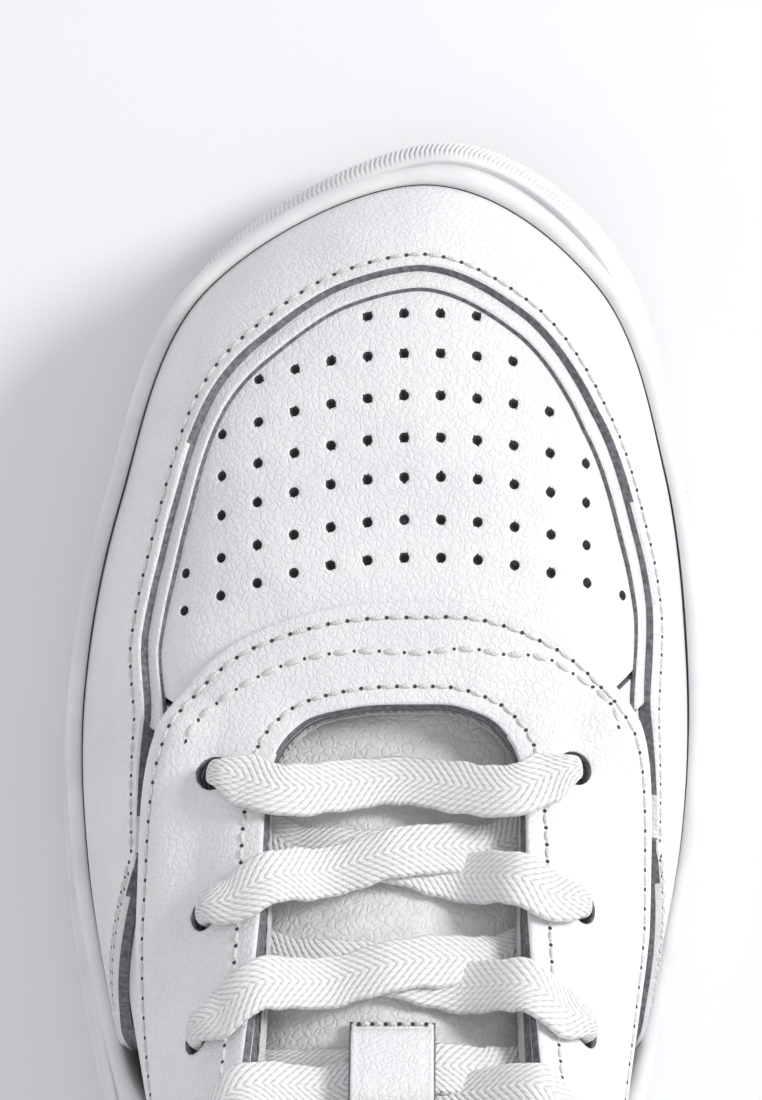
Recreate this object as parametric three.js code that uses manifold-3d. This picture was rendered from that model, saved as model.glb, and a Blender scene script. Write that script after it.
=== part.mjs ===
// High-top basketball shoe, left foot. Millimetres, +Z up, +Y to the toe, +X to the inner side of the foot.
import * as THREE from "three";
import { mergeVertices } from "three/addons/utils/BufferGeometryUtils.js";
import Module from "manifold-3d";

// Overall sizes
const SHOE_LENGTH = 302;
const BALL_WIDTH = 112;
const COLLAR_HEIGHT = 150;
// Material thicknesses and the clearance between neighbouring pieces
const LEATHER = 1.4;
const THIN_LEATHER = 0.8;
const LINING = 1.0;
const STIFFENER = 1.0;
const GAP = 0.3;
const CUP_WALL = 2.2;
const WALL_FIT = 0.8;
// Sole heights, measured up from the ground line
const OUTSOLE = 4;
const CUP_FLOOR = 7;
const FOREFOOT_BOARD = 13;
const HEEL_LIFT = 7;
const SIDEWALL_TOP = 26;
const TOE_SPRING = 9;
// Padding
const COLLAR_PAD = 5;
const LAYER_FIT = 0.5;
const PUFF_FIT = 0.65;
const TONGUE_PAD = 4.5;
// Lacing
const EYELET_ROWS = 7;
const EYELET_RADIUS = 2.9;
const EYELET_SETBACK = 10;
const LACE_WIDTH = 8.6;
const LACE_THICKNESS = 1.3;
const TUCKED_WIDTH = 5.162;
const TRIM_BAND = 3.3;

const kx = BALL_WIDTH / 112;
const ky = SHOE_LENGTH / 302;
const kz = COLLAR_HEIGHT / 150;
const STATIONS = 24;

// One row per station round the foot, heel centre first, then the outer side to the toe (12) and back:
// feather line x, y | top line x, y, z | rise of the lower handle | outward, downward pull of the upper handle
const LAST = [
  [4, -140, 4, -137, 150, 44, -4, 42],
  [-14, -136, -15, -132, 147, 44, -4, 42],
  [-26, -122, -28, -117, 143, 42, -3, 42],
  [-30.5, -102, -35, -96, 143, 38, -3, 42],
  [-31.5, -78, -35, -70, 151, 36, -2, 44],
  [-33, -52, -29, -46, 163, 34, 1, 46],
  [-37, -24, -26, -35, 134, 31, 8, 28],
  [-43, 1, -23, -12, 103, 28, 13, 13],
  [-47.8, 27, -20.5, 17, 83.5, 26, 14, 6],
  [-48.2, 55, -19.5, 40, 71, 26, 18, 5],
  [-42, 87, -14.5, 49, 66.3, 28, 27, 7],
  [-28.6, 121.6, -5.5, 52, 66, 31, 36, 9],
  [6, 138.8, 5, 52.5, 66, 32, 39, 10],
  [32.6, 123.2, 12, 52, 66, 31, 36, 9],
  [43.4, 93, 18.5, 48.5, 66.5, 28, 27, 7],
  [47.4, 60, 22, 40, 71, 26, 18, 5],
  [46.5, 31, 22.2, 17, 83.5, 26, 14, 6],
  [41, 4, 23.8, -12, 103, 28, 13, 13],
  [35.5, -24, 27, -35, 134, 31, 8, 28],
  [33, -52, 30.5, -46, 163, 34, 1, 46],
  [34, -78, 38, -70, 151, 36, -2, 44],
  [36.5, -102, 42, -96, 143, 38, -3, 42],
  [33, -122, 35, -117, 143, 42, -3, 42],
  [22, -136, 22.5, -132, 147, 44, -4, 42],
];
// Outline of the sole at its widest, one point per station
const SOLE = [
  [3.5, -151], [-17.5, -146], [-32, -132], [-38.5, -111], [-41, -83], [-44.5, -54], [-49, -25], [-54, 1],
  [-57, 27], [-56.4, 56], [-48.3, 90.5], [-31.8, 130.2], [7.7, 151], [37, 137], [50.3, 107], [55.9, 65],
  [54.5, 32], [49.5, 4], [44, -26], [41.8, -54], [42.5, -81], [44.5, -108], [39.5, -131], [25, -146],
];

const V = (x, y, z) => new THREE.Vector3(x, y, z);
const X_AXIS = V(1, 0, 0);
const loop = (points) => new THREE.CatmullRomCurve3(points, true, "catmullrom", 0.5);
const blend = (a, b, k) => a + (b - a) * k;
const smooth = THREE.MathUtils.smoothstep;

function ground(y) {
  const toe = Math.max(0, (y / ky - 60) / 92);
  const heel = Math.max(0, (-125 - y / ky) / 26);
  return TOE_SPRING * toe * toe + 2 * heel * heel;
}
const boardHeight = (y) => FOREFOOT_BOARD + ground(y) + HEEL_LIFT * smooth(-y / ky, -10, 90);
const sidewallHeight = (y) => SIDEWALL_TOP + 6 * smooth(-y / ky, -10, 100) + 0.25 * ground(y);

// The last surface: u runs round the stations, t from the feather line (0) to the top line (1)
const soleLine = loop(SOLE.map(([x, y]) => V(x * kx, y * ky, 0)));
const feather = loop(LAST.map((r) => V(r[0] * kx, r[1] * ky, boardHeight(r[1] * ky))));
const topline = loop(LAST.map((r) => V(r[2] * kx, r[3] * ky, r[4] * kz)));
function planNormal(curve, u) {
  const a = curve.getPoint(wrap(u + 0.01)), b = curve.getPoint(wrap(u - 0.01));
  return V(b.y - a.y, a.x - b.x, 0).normalize();
}
const wrap = (u) => (((u % STATIONS) + STATIONS) % STATIONS) / STATIONS;
const lower = loop(LAST.map((r, i) => V(r[0] * kx, r[1] * ky, boardHeight(r[1] * ky) + r[5] * kz)
  .addScaledVector(planNormal(feather, i), 6 * kx)));
const upper = loop(LAST.map((r, i) => {
  const away = V(r[0] - r[2], r[1] - r[3], 0).addScaledVector(planNormal(feather, i), 25).normalize();
  return V(r[2] * kx, r[3] * ky, (r[4] - r[7]) * kz).addScaledVector(away, r[6] * kx);
}));

function surface(u, t) {
  const s = wrap(u), k = 1 - t;
  return feather.getPoint(s).multiplyScalar(k * k * k).addScaledVector(lower.getPoint(s), 3 * k * k * t)
    .addScaledVector(upper.getPoint(s), 3 * k * t * t).addScaledVector(topline.getPoint(s), t * t * t);
}
function surfaceNormal(u, t) {
  const du = surface(u + 0.02, t).sub(surface(u - 0.02, t));
  const dt = surface(u, Math.min(1, t + 1e-3)).sub(surface(u, Math.max(0, t - 1e-3)));
  return dt.cross(du).normalize();
}
const raised = (u, t, h) => surface(u, t).addScaledVector(surfaceNormal(u, t), h);

// Girth measured along the surface at one station, for placing edges in millimetres
const girths = new Map();
function girth(u) {
  const key = wrap(u).toFixed(6);
  if (!girths.has(key)) {
    const sums = [0];
    let last = surface(u, 0);
    for (let i = 1; i <= 40; i++) {
      const next = surface(u, i / 40);
      sums.push(sums[i - 1] + last.distanceTo(next));
      last = next;
    }
    girths.set(key, sums);
  }
  return girths.get(key);
}
function rise(u, mm) {
  const sums = girth(u);
  let i = 1;
  while (i < 40 && sums[i] < mm) i++;
  return Math.min(1, Math.max(0, (i - 1 + (mm - sums[i - 1]) / (sums[i] - sums[i - 1])) / 40));
}
const drop = (u, mm) => rise(u, girth(u)[40] - mm);
const fullRise = (u) => girth(u)[40];

// Smooth curve through a short list of [position, value] pairs
function profile(pairs) {
  return (x) => {
    const n = pairs.length;
    if (x <= pairs[0][0]) return pairs[0][1];
    if (x >= pairs[n - 1][0]) return pairs[n - 1][1];
    let i = 1;
    while (pairs[i][0] < x) i++;
    const [x0, y0] = pairs[i - 1], [x1, y1] = pairs[i];
    return blend(y0, y1, smooth(x, x0, x1) * 0.5 + 0.5 * (x - x0) / (x1 - x0));
  };
}

// Closed solids
function geometryOf(points, faces) {
  const geometry = new THREE.BufferGeometry();
  geometry.setAttribute("position", new THREE.Float32BufferAttribute(points.flatMap((p) => [p.x, p.y, p.z]), 3));
  let volume = 0;
  for (const [a, b, c] of faces) volume += points[a].dot(points[b].clone().cross(points[c]));
  geometry.setIndex(faces.flatMap(([a, b, c]) => (volume > 0 ? [a, b, c] : [a, c, b])));
  return geometry;
}
function quad(faces, a, b, c, d) {
  faces.push([a, b, c], [a, c, d]);
}
// A sheet with thickness; at(i, j, side) gives the point on its inner (0) or outer (1) face, both running 0 to 1
function sheet(nu, nv, at, ring = false) {
  const points = [], faces = [], columns = ring ? nu : nu + 1;
  for (let side = 0; side < 2; side++) {
    for (let i = 0; i < columns; i++) for (let j = 0; j <= nv; j++) points.push(at(i / nu, j / nv, side));
  }
  const id = (side, i, j) => side * columns * (nv + 1) + (i % columns) * (nv + 1) + j;
  for (let i = 0; i < nu; i++) {
    for (let j = 0; j < nv; j++) {
      quad(faces, id(1, i, j), id(1, i + 1, j), id(1, i + 1, j + 1), id(1, i, j + 1));
      quad(faces, id(0, i, j), id(0, i, j + 1), id(0, i + 1, j + 1), id(0, i + 1, j));
    }
    quad(faces, id(0, i, 0), id(0, i + 1, 0), id(1, i + 1, 0), id(1, i, 0));
    quad(faces, id(1, i, nv), id(1, i + 1, nv), id(0, i + 1, nv), id(0, i, nv));
  }
  for (let j = 0; j < nv && !ring; j++) {
    quad(faces, id(1, 0, j), id(1, 0, j + 1), id(0, 0, j + 1), id(0, 0, j));
    quad(faces, id(0, nu, j), id(0, nu, j + 1), id(1, nu, j + 1), id(1, nu, j));
  }
  return geometryOf(points, faces);
}
// A plate built from rings of points round the sole, closed across at the first and last ring
function plate(count, rings) {
  const points = [], faces = [];
  rings.forEach((ring) => { for (let j = 0; j < count; j++) points.push(ring(STATIONS * j / count)); });
  const id = (k, j) => k * count + ((j + count) % count);
  for (let k = 0; k + 1 < rings.length; k++) {
    for (let j = 0; j < count; j++) quad(faces, id(k, j), id(k, j + 1), id(k + 1, j + 1), id(k + 1, j));
  }
  const cap = (k, flip) => {
    for (let j = 0; j < count / 2; j++) {
      const [a, b, c, d] = [id(k, j), id(k, j + 1), id(k, -j - 1), id(k, -j)];
      const tris = j === 0 ? [[a, b, c]] : j === count / 2 - 1 ? [[a, b, d]] : [[a, b, c], [a, c, d]];
      tris.forEach(([p, q, r]) => faces.push(flip ? [p, q, r] : [p, r, q]));
    }
  };
  cap(0, false);
  cap(rings.length - 1, true);
  return geometryOf(points, faces);
}
// A flat band swept along points; across(k, along) is its width direction, size(k) its [width, thickness]
function band(path, steps, across, size) {
  const curve = new THREE.CatmullRomCurve3(path, false, "centripetal");
  const points = [], faces = [];
  for (let i = 0; i <= steps; i++) {
    const k = i / steps, centre = curve.getPoint(k), along = curve.getTangent(k);
    const side = across(k, along), slant = side.dot(along);
    side.addScaledVector(along, -slant).normalize();
    const up = side.clone().cross(along);
    const [w, h] = size(k);
    for (const [a, b] of [[-1, -1], [1, -1], [1, 1], [-1, 1]]) {
      points.push(centre.clone().addScaledVector(side, a * w / 2).addScaledVector(up, b * h / 2));
    }
  }
  for (let i = 0; i < steps; i++) {
    for (let c = 0; c < 4; c++) {
      const d = (c + 1) % 4, corners = [4 * i + c, 4 * i + d, 4 * i + 4 + d, 4 * i + 4 + c];
      // The two broad faces are split along the same diagonal, so a twist keeps its thickness
      quad(faces, ...(c === 2 ? [...corners.slice(1), corners[0]] : corners));
    }
  }
  const e = 4 * steps;
  quad(faces, 0, 3, 2, 1);
  quad(faces, e, e + 1, e + 2, e + 3);
  return geometryOf(points, faces);
}

// Exact booleans
const wasm = await Module();
wasm.setup();
function toManifold(geometry) {
  const g = geometry.clone();
  g.deleteAttribute("normal");
  g.deleteAttribute("uv");
  const m = mergeVertices(g, 1e-4);
  return new wasm.Manifold(new wasm.Mesh({
    numProp: 3,
    vertProperties: new Float32Array(m.attributes.position.array),
    triVerts: new Uint32Array(m.index.array),
  }));
}
function fromManifold(solid) {
  const mesh = solid.getMesh();
  const g = new THREE.BufferGeometry();
  g.setAttribute("position", new THREE.BufferAttribute(new Float32Array(mesh.vertProperties), 3));
  g.setIndex([...mesh.triVerts]);
  return g;
}

const shoe = new THREE.Group();
shoe.name = "basketball_high_top";
const MATERIALS = {
  leather: [0xf1f1f2, 0.55], edge_leather: [0x8d9096, 0.9], lining: [0xe4e4e2, 0.95], foam: [0xe9dfc8, 0.95],
  rubber: [0xf0f0ef, 0.6], tread: [0xe9e9e6, 0.7], board: [0xd8cdb4, 0.9], stiffener: [0xcfd3d8, 0.8],
  lace: [0xfafafa, 0.9], plastic: [0xdfe3e8, 0.2], sock: [0xdcdcdc, 0.95],
};
const palette = Object.fromEntries(Object.entries(MATERIALS).map(([name, [color, roughness]]) => {
  const material = new THREE.MeshStandardMaterial({ color, roughness });
  material.name = name;
  return [name, material];
}));
function add(name, geometry, material) {
  const g = geometry.toNonIndexed();
  g.computeVertexNormals();
  const mesh = new THREE.Mesh(g, palette[material]);
  mesh.name = name;
  shoe.add(mesh);
}

// Panels of the upper: a patch between two slanted ends, low and high edges given as rises in millimetres
function panel({ ends, low, high, inner, outer, nu, nv }) {
  const [start, end] = ends;
  return sheet(nu, nv, (i, j, side) => {
    const across = blend(start(1), end(1), i);
    const u = blend(start(j), end(j), i);
    const mm = blend(low(across), high(across), j);
    const t = rise(u, mm * fullRise(u) / fullRise(across));
    return raised(u, t, side ? outer(u, t) : inner(u, t));
  });
}
const fixed = (value) => () => value;
const SKIN = { inner: fixed(-LEATHER), outer: fixed(0) };

// Edge lines, as rises above the feather line
const mudguardEdge = profile([
  [8.2, 47], [9.1, 44.5], [9.6, 39.5], [10.4, 37.5], [11.2, 32.5], [11.6, 30.3], [12, 30.3], [12.6, 32.5],
  [13.2, 37], [14.4, 36], [15, 40.5], [15.9, 40],
]);
// Outer edge of the facing: for each station along the throat, the station and drop it reaches across the panel
const facingStation = profile([[5, 3.95], [5.4, 4.0], [5.8, 4.35], [6.4, 5.1], [7, 6], [8, 7.6], [9, 9], [12, 12],
  [15, 15], [16, 16.4], [17, 18], [17.6, 18.9], [18.2, 19.65], [18.6, 20], [19, 20.05]]);
const facingDrop = profile([[5, 0.2], [5.4, 18], [5.8, 35], [6.4, 56], [7, 48], [8, 30], [9, 22], [10.5, 18.5],
  [12, 18], [13.5, 19], [14.8, 23], [16, 33], [17, 50], [17.6, 57], [18.2, 36], [18.6, 19], [19, 0.2]]);
const topHeight = (u) => topline.getPoint(wrap(u)).z;
function facingAt(throat, f) {
  const end = facingStation(throat), u = blend(throat, end, f);
  const sag = topHeight(u) - blend(topHeight(throat), topHeight(end), f);
  return [u, drop(u, facingDrop(throat) * f + sag)];
}
const facingWidth = (throat) => surface(...facingAt(throat, 1)).distanceTo(surface(throat, 1));
const lay = (throat, mm, h) => raised(...facingAt(throat, mm / facingWidth(throat)), h);
const layNormal = (throat, mm) => surfaceNormal(...facingAt(throat, mm / facingWidth(throat)));
const vampEnds = [fixed(9.28), fixed(14.72)];
const mudguardEnds = [(j) => 6.6 + 1.6 * j ** 1.7, (j) => 17.5 - 1.65 * j ** 1.7];
const trimOuter = GAP + THIN_LEATHER;
const mudInner = trimOuter + LAYER_FIT;
const mudOuter = mudInner + LEATHER - 0.2;

// Punched holes for the laces
const rowStations = (() => {
  const start = 8.9, end = 5.42, steps = 200, sums = [0];
  for (let i = 1; i <= steps; i++) {
    const a = topline.getPoint(wrap(blend(start, end, (i - 1) / steps)));
    sums.push(sums[i - 1] + a.distanceTo(topline.getPoint(wrap(blend(start, end, i / steps)))));
  }
  return Array.from({ length: EYELET_ROWS }, (_, r) => {
    const target = sums[steps] * r / (EYELET_ROWS - 1);
    const i = Math.max(1, sums.findIndex((v) => v >= target - 1e-9));
    return blend(start, end, (i - 1 + (target - sums[i - 1]) / (sums[i] - sums[i - 1])) / steps);
  });
})();
const onSide = (u, side) => (side < 0 ? u : STATIONS - u);
const eyelet = (row, side, h) => lay(onSide(rowStations[row], side), EYELET_SETBACK, h);
function punch(row, side, radius) {
  const u = onSide(rowStations[row], side);
  const g = new THREE.CylinderGeometry(radius, radius, 20, 8);
  g.applyQuaternion(new THREE.Quaternion().setFromUnitVectors(V(0, 1, 0), layNormal(u, EYELET_SETBACK)));
  const c = eyelet(row, side, 0);
  return toManifold(g.translate(c.x, c.y, c.z));
}
const punches = (radius) => rowStations.flatMap((_, row) => [punch(row, -1, radius), punch(row, 1, radius)]);
const facingPunches = punches(EYELET_RADIUS), innerPunches = punches(EYELET_RADIUS + 0.5);
function punched(geometry, tools = innerPunches) {
  return fromManifold(tools.reduce((solid, tool) => solid.subtract(tool), toManifold(geometry)));
}

// Sole unit
function soleEdge(u, inset, z) {
  const p = soleLine.getPoint(wrap(u)).addScaledVector(planNormal(soleLine, u), -inset);
  return V(p.x, p.y, ground(p.y) + z);
}
function featherEdge(u, outset, height) {
  const p = feather.getPoint(wrap(u)).addScaledVector(planNormal(feather, u), outset);
  return V(p.x, p.y, height(p.y));
}
const wallInner = mudOuter + WALL_FIT;
const lipT = (u) => {
  const target = sidewallHeight(surface(u, 0.15).y);
  let t = 0;
  while (t < 0.6 && surface(u, t).z < target) t += 0.005;
  return t;
};
add("outsole", plate(64, [
  (u) => soleEdge(u, 4.2, 0), (u) => soleEdge(u, 2.2, 0.7), (u) => soleEdge(u, 1.6, 2.2),
  (u) => soleEdge(u, 1.6, OUTSOLE - 0.4), (u) => soleEdge(u, 2.2, OUTSOLE),
]), "tread");
add("cupsole", plate(72, [
  (u) => soleEdge(u, 2.2, OUTSOLE + GAP), (u) => soleEdge(u, 0.3, OUTSOLE + 1), (u) => soleEdge(u, 0, 8),
  (u) => soleEdge(u, 0.3, 13.5), (u) => soleEdge(u, 2.4, 14.3),
  (u) => raised(u, lipT(u) * 0.8, wallInner + CUP_WALL + 0.6), (u) => raised(u, lipT(u), wallInner + CUP_WALL),
  (u) => raised(u, lipT(u) + 0.006, wallInner + CUP_WALL / 2), (u) => raised(u, lipT(u), wallInner),
  (u) => raised(u, lipT(u) / 2, wallInner), (u) => raised(u, 0.02, wallInner),
  (u) => featherEdge(u, wallInner, (y) => ground(y) + CUP_FLOOR),
]), "rubber");
add("midsole_foam", plate(64, [
  (u) => featherEdge(u, wallInner - 0.6, (y) => ground(y) + CUP_FLOOR + GAP),
  (u) => featherEdge(u, wallInner - 0.6, (y) => boardHeight(y) - 2.5),
]), "foam");
add("strobel_board", plate(64, [
  (u) => featherEdge(u, 1.2, (y) => boardHeight(y) - 2.1), (u) => featherEdge(u, 1.2, (y) => boardHeight(y) - 0.8),
]), "board");
const insoleTop = (y) => boardHeight(y) + 3.8 + 1.4 * smooth(-y / ky, 20, 120);
add("sockliner", plate(64, [
  (u) => featherEdge(u, -6.2, (y) => boardHeight(y) - 0.3), (u) => featherEdge(u, -5.4, (y) => boardHeight(y) + 1),
  (u) => featherEdge(u, -5.2, (y) => insoleTop(y) - 0.4), (u) => featherEdge(u, -6.2, insoleTop),
]), "sock");

// Vamp, its trims and stiffeners
add("vamp", panel({ ends: vampEnds, low: fixed(0), high: fullRise, ...SKIN, nu: 36, nv: 13 }), "leather");
add("toe_trim", panel({
  ends: [fixed(9.0), fixed(15.0)], low: (u) => mudguardEdge(u) - 8, high: (u) => mudguardEdge(u) + TRIM_BAND,
  inner: fixed(GAP), outer: fixed(trimOuter), nu: 30, nv: 2,
}), "edge_leather");
add("mudguard", panel({
  ends: mudguardEnds, low: fixed(0.5), high: mudguardEdge,
  inner: fixed(mudInner), outer: fixed(mudOuter), nu: 38, nv: 5,
}), "leather");
add("toe_puff", panel({
  ends: [fixed(10.4), fixed(13.6)], low: fixed(3), high: fixed(32),
  inner: fixed(-LEATHER - PUFF_FIT - STIFFENER), outer: fixed(-LEATHER - PUFF_FIT), nu: 28, nv: 7,
}), "stiffener");
const liningOuter = -LEATHER - STIFFENER - 2 * LAYER_FIT;
const liningInner = liningOuter - LINING;
add("vamp_lining", punched(panel({
  ends: vampEnds, low: fixed(0), high: fullRise, inner: fixed(liningInner), outer: fixed(liningOuter), nu: 20, nv: 8,
})), "lining");

// Quarters and their linings
const collarGap = 0.03, quarterLiningOuter = -LEATHER - 0.8;
function quarter(from, to, inner, outer, nu, nv) {
  return panel({ ends: [fixed(from), fixed(to)], low: fixed(0), high: fullRise, inner: fixed(inner),
    outer: fixed(outer), nu, nv });
}
add("quarter_lateral", punched(quarter(collarGap, 9.25, -LEATHER, 0, 26, 11)), "leather");
add("quarter_medial", punched(quarter(14.75, STATIONS - collarGap, -LEATHER, 0, 26, 11)), "leather");
add("quarter_lining_lateral", punched(quarter(4.22, 9.25, liningInner, quarterLiningOuter, 13, 9)), "lining");
add("quarter_lining_medial", punched(quarter(14.75, 19.78, liningInner, quarterLiningOuter, 13, 9)), "lining");

// Facing with the punched lace holes; its outer edge rides over the end of the mudguard
function facingRide(throat, f) {
  const outer = smooth(throat, 7.3, 8.1) * (1 - smooth(throat, 9.1, 9.7));
  const inner = smooth(throat, 14.3, 14.9) * (1 - smooth(throat, 15.9, 16.7));
  const bend = smooth(Math.abs(throat - 12), 4.2, 4.8);
  return LAYER_FIT + 0.4 * bend + (mudOuter - GAP + LAYER_FIT) * (outer + inner) * smooth(f, 0.45, 0.85);
}
const facing = sheet(52, 4, (i, j, side) => {
  const throat = blend(5.02, 18.98, i);
  return raised(...facingAt(throat, 1 - j), facingRide(throat, 1 - j) + (side ? LEATHER : 0));
});
add("eyestay", punched(facing, facingPunches), "leather");

// Heel and ankle
const heelRise = profile([[0, 58], [1.2, 54], [2.6, 36], [3.2, 30]]);
const overlayTop = GAP + LEATHER;
add("heel_overlay", sheet(20, 5, (i, j, side) => {
  const u = blend(-3.2, 3.2, i), t = rise(u, 0.5 + heelRise(Math.abs(u)) * j);
  return raised(u, t, side ? overlayTop : GAP);
}), "leather");
add("backstay", sheet(4, 8, (i, j, side) => {
  const u = blend(-0.42, 0.42, i), t = rise(u, blend(60, fullRise(u), j));
  return raised(u, t, side ? overlayTop : GAP);
}), "leather");
function collarPanel(side) {
  return sheet(16, 3, (i, j, face) => {
    const u = blend(0.46, 3.88, i), s = onSide(u, side);
    return raised(s, drop(s, 32 * (1 - j)), face ? overlayTop : GAP);
  });
}
add("collar_panel_lateral", collarPanel(-1), "leather");
add("collar_panel_medial", collarPanel(1), "leather");
add("heel_counter", sheet(20, 4, (i, j, side) => {
  const u = blend(-3.6, 3.6, i), t = rise(u, blend(3, 50 - 2 * u * u, j));
  return raised(u, t, -LEATHER - LAYER_FIT - 0.1 - (side ? 0 : STIFFENER));
}), "stiffener");
const padFrom = 56;
function padBulge(u, t) {
  const mm = t * fullRise(u), v = THREE.MathUtils.clamp((mm - padFrom) / (fullRise(u) - padFrom), 0, 1);
  return COLLAR_PAD * Math.sin(Math.PI * Math.min(1, v * 0.93)) ** 0.7 * (1 - smooth(Math.abs(u), 3.0, 4.15));
}
add("collar_foam", sheet(20, 6, (i, j, side) => {
  const u = blend(-4.15, 4.15, i), t = rise(u, blend(padFrom + 1, fullRise(u) - 1.5, j));
  return raised(u, t, side ? -LEATHER - LAYER_FIT : liningOuter + LAYER_FIT - padBulge(u, t));
}), "foam");
add("collar_lining", sheet(20, 9, (i, j, side) => {
  const u = blend(-4.18, 4.18, i), t = rise(u, fullRise(u) * j);
  return raised(u, t, (side ? liningOuter : liningInner) - padBulge(u, t));
}), "lining");

// Tongue: rows across the throat, each sagging from edge to edge under the facings
const tongueTop = liningInner - LACE_THICKNESS - 2 * LAYER_FIT - 1;
const CROWN = 3.5;
const ROWS_FROM = 9.5, ROW_STEP = 0.5, ROW_COUNT = 10;
function tongueRow(u) {
  const [l1, l0, r1, r0] = [-1, 1].flatMap((side) => [9, 0].map((mm) => lay(onSide(u, side), mm, tongueTop)));
  const up = surfaceNormal(u, 1).add(surfaceNormal(STATIONS - u, 1));
  up.x = 0;
  const crown = CROWN * (0.3 + 0.7 * smooth(-u, -9.3, -8.3));
  const mid = l0.clone().add(r0).multiplyScalar(0.5).addScaledVector(up.normalize(), crown);
  const eased = (edge, end) => edge.lerp(end.clone().add(mid).multiplyScalar(0.5), 0.25);
  return [l1, eased(l0, l1), mid, eased(r0, r1), r1];
}
function frontRow() {
  return [10.3, 11.1, 12, 12.9, 13.7].map((u) => raised(u, drop(u, 7), tongueTop));
}
const tongueRows = [frontRow(), ...Array.from({ length: ROW_COUNT }, (_, k) => tongueRow(ROWS_FROM - ROW_STEP * k))];
const extended = (row, base, k) => row.map((p, i) => p.clone().addScaledVector(p.clone().sub(base[i]), k));
const lastRow = tongueRows[ROW_COUNT], beforeLast = tongueRows[ROW_COUNT - 1];
tongueRows.push(extended(lastRow, beforeLast, 0.55), extended(lastRow, beforeLast, 1.1));
const ribs = [0, 1, 2, 3, 4].map((c) => new THREE.CatmullRomCurve3(tongueRows.map((row) => row[c])));
const LAST_ROW = tongueRows.length - 1;
function tongueSurface(row, a) {
  const points = ribs.map((rib) => rib.getPoint(THREE.MathUtils.clamp(row / LAST_ROW, 0, 1)));
  return new THREE.CatmullRomCurve3(points).getPoint((a + 1) / 2);
}
function tongueNormal(row, a) {
  const along = tongueSurface(Math.min(LAST_ROW, row + 0.05), a).sub(tongueSurface(Math.max(0, row - 0.05), a));
  const across = tongueSurface(row, Math.min(1, a + 0.02)).sub(tongueSurface(row, Math.max(-1, a - 0.02)));
  return across.cross(along).multiplyScalar(-1).normalize();
}
const onTongue = (row, a, h) => tongueSurface(row, a).addScaledVector(tongueNormal(row, a), h);
const SEAM_ROW = 10.15;
function tongueSheet(from, to, outer, inner, inset, nu) {
  return sheet(8, nu, (i, j, side) => {
    const a = (i * 2 - 1) * inset, row = blend(from, to, j);
    const corner = to === LAST_ROW ? 1 - 0.12 * smooth(j, 0.4, 1) * Math.abs(a) ** 3 : 1;
    const wing = 1 - 0.72 * smooth(Math.abs(a), 0.2, 0.62);
    const h = side ? outer : inner;
    return onTongue(row, a * corner, h > foamTop ? h : foamTop + (h - foamTop) * wing);
  });
}
const foamTop = -LEATHER - LAYER_FIT, foamBottom = foamTop - TONGUE_PAD;
const seam = 0.035;
add("tongue_leather", tongueSheet(0.1, SEAM_ROW - seam, 0, -LEATHER, 1, 16), "leather");
add("tongue_foam", tongueSheet(0.5, SEAM_ROW - seam, foamTop, foamBottom, 0.94, 15), "foam");
add("tongue_lining", tongueSheet(0.4, SEAM_ROW - seam, foamBottom - 1.3, foamBottom - 1.3 - LINING, 1, 16), "lining");
add("tongue_top_leather", tongueSheet(SEAM_ROW + seam, LAST_ROW, 0, -LEATHER, 1, 3), "leather");
add("tongue_top_foam", tongueSheet(SEAM_ROW + seam, LAST_ROW - 0.1, foamTop, foamBottom, 0.94, 3), "foam");
add("tongue_top_lining", tongueSheet(SEAM_ROW + seam, LAST_ROW, foamBottom - 1.3, foamBottom - 1.3 - LINING, 1, 3),
  "lining");


// Lacing: one flat lace, straight bar across the first pair, then in from above, out from below and across
const rowOf = (u) => 1 + (ROWS_FROM - u) / ROW_STEP;
function pitchPoint(k) {
  const i = Math.min(EYELET_ROWS - 2, Math.floor(k));
  return blend(rowStations[i], rowStations[i + 1], k - i);
}
const facingTop = LAYER_FIT + 0.4 + LEATHER;
const LOWER_STRAND = 2.4, UPPER_STRAND = 4.1;
// Shares of its width that the lace keeps where an eyelet pinches it and where it runs under the facing
const PINCHED = 1.12 * EYELET_RADIUS / LACE_WIDTH, TUCKED = TUCKED_WIDTH / LACE_WIDTH;
// Path keys: point, direction across the lace, share of the full width
function facingKey(k, side, mm, h, w = 1) {
  const u = pitchPoint(k), d = lay(onSide(u - 0.05, side), mm, h).sub(lay(onSide(u + 0.05, side), mm, h));
  return [lay(onSide(u, side), mm, h), d.normalize(), w];
}
function edgeKey(k, side, reach, h, w = 1) {
  const [edge, d] = facingKey(k, side, 0, h, w), inner = facingKey(k, side, 4, h, w)[0];
  return [edge.clone().addScaledVector(edge.clone().sub(inner).normalize(), reach), d, w];
}
function tongueKey(row, a, h, w = 1) {
  return [onTongue(row, a, h), tongueSurface(row + 0.3, a).sub(tongueSurface(row - 0.3, a)).normalize(), w];
}
const pitchTongue = (k, a, h, w) => tongueKey(rowOf(pitchPoint(k)), a, h, w);
function intoEyelet(row, side) {
  return [
    facingKey(row, side, 3.5, facingTop + 1.5), facingKey(row, side, 8, facingTop + 1.45, 0.5),
    facingKey(row, side, EYELET_SETBACK, 0.6, PINCHED),
    facingKey(row, side, EYELET_SETBACK - 0.3, liningInner - 1.6, 0.9 * PINCHED),
  ];
}
function crossing(row, side, height) {
  return [
    facingKey(row + 0.15, side, 5, liningInner - 2.05, TUCKED), pitchTongue(row + 0.42, side * 0.42, 1.6, 0.95),
    pitchTongue(row + 0.6, 0, height), edgeKey(row + 0.86, -side, 2.5, facingTop + 1.4),
  ];
}
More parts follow.
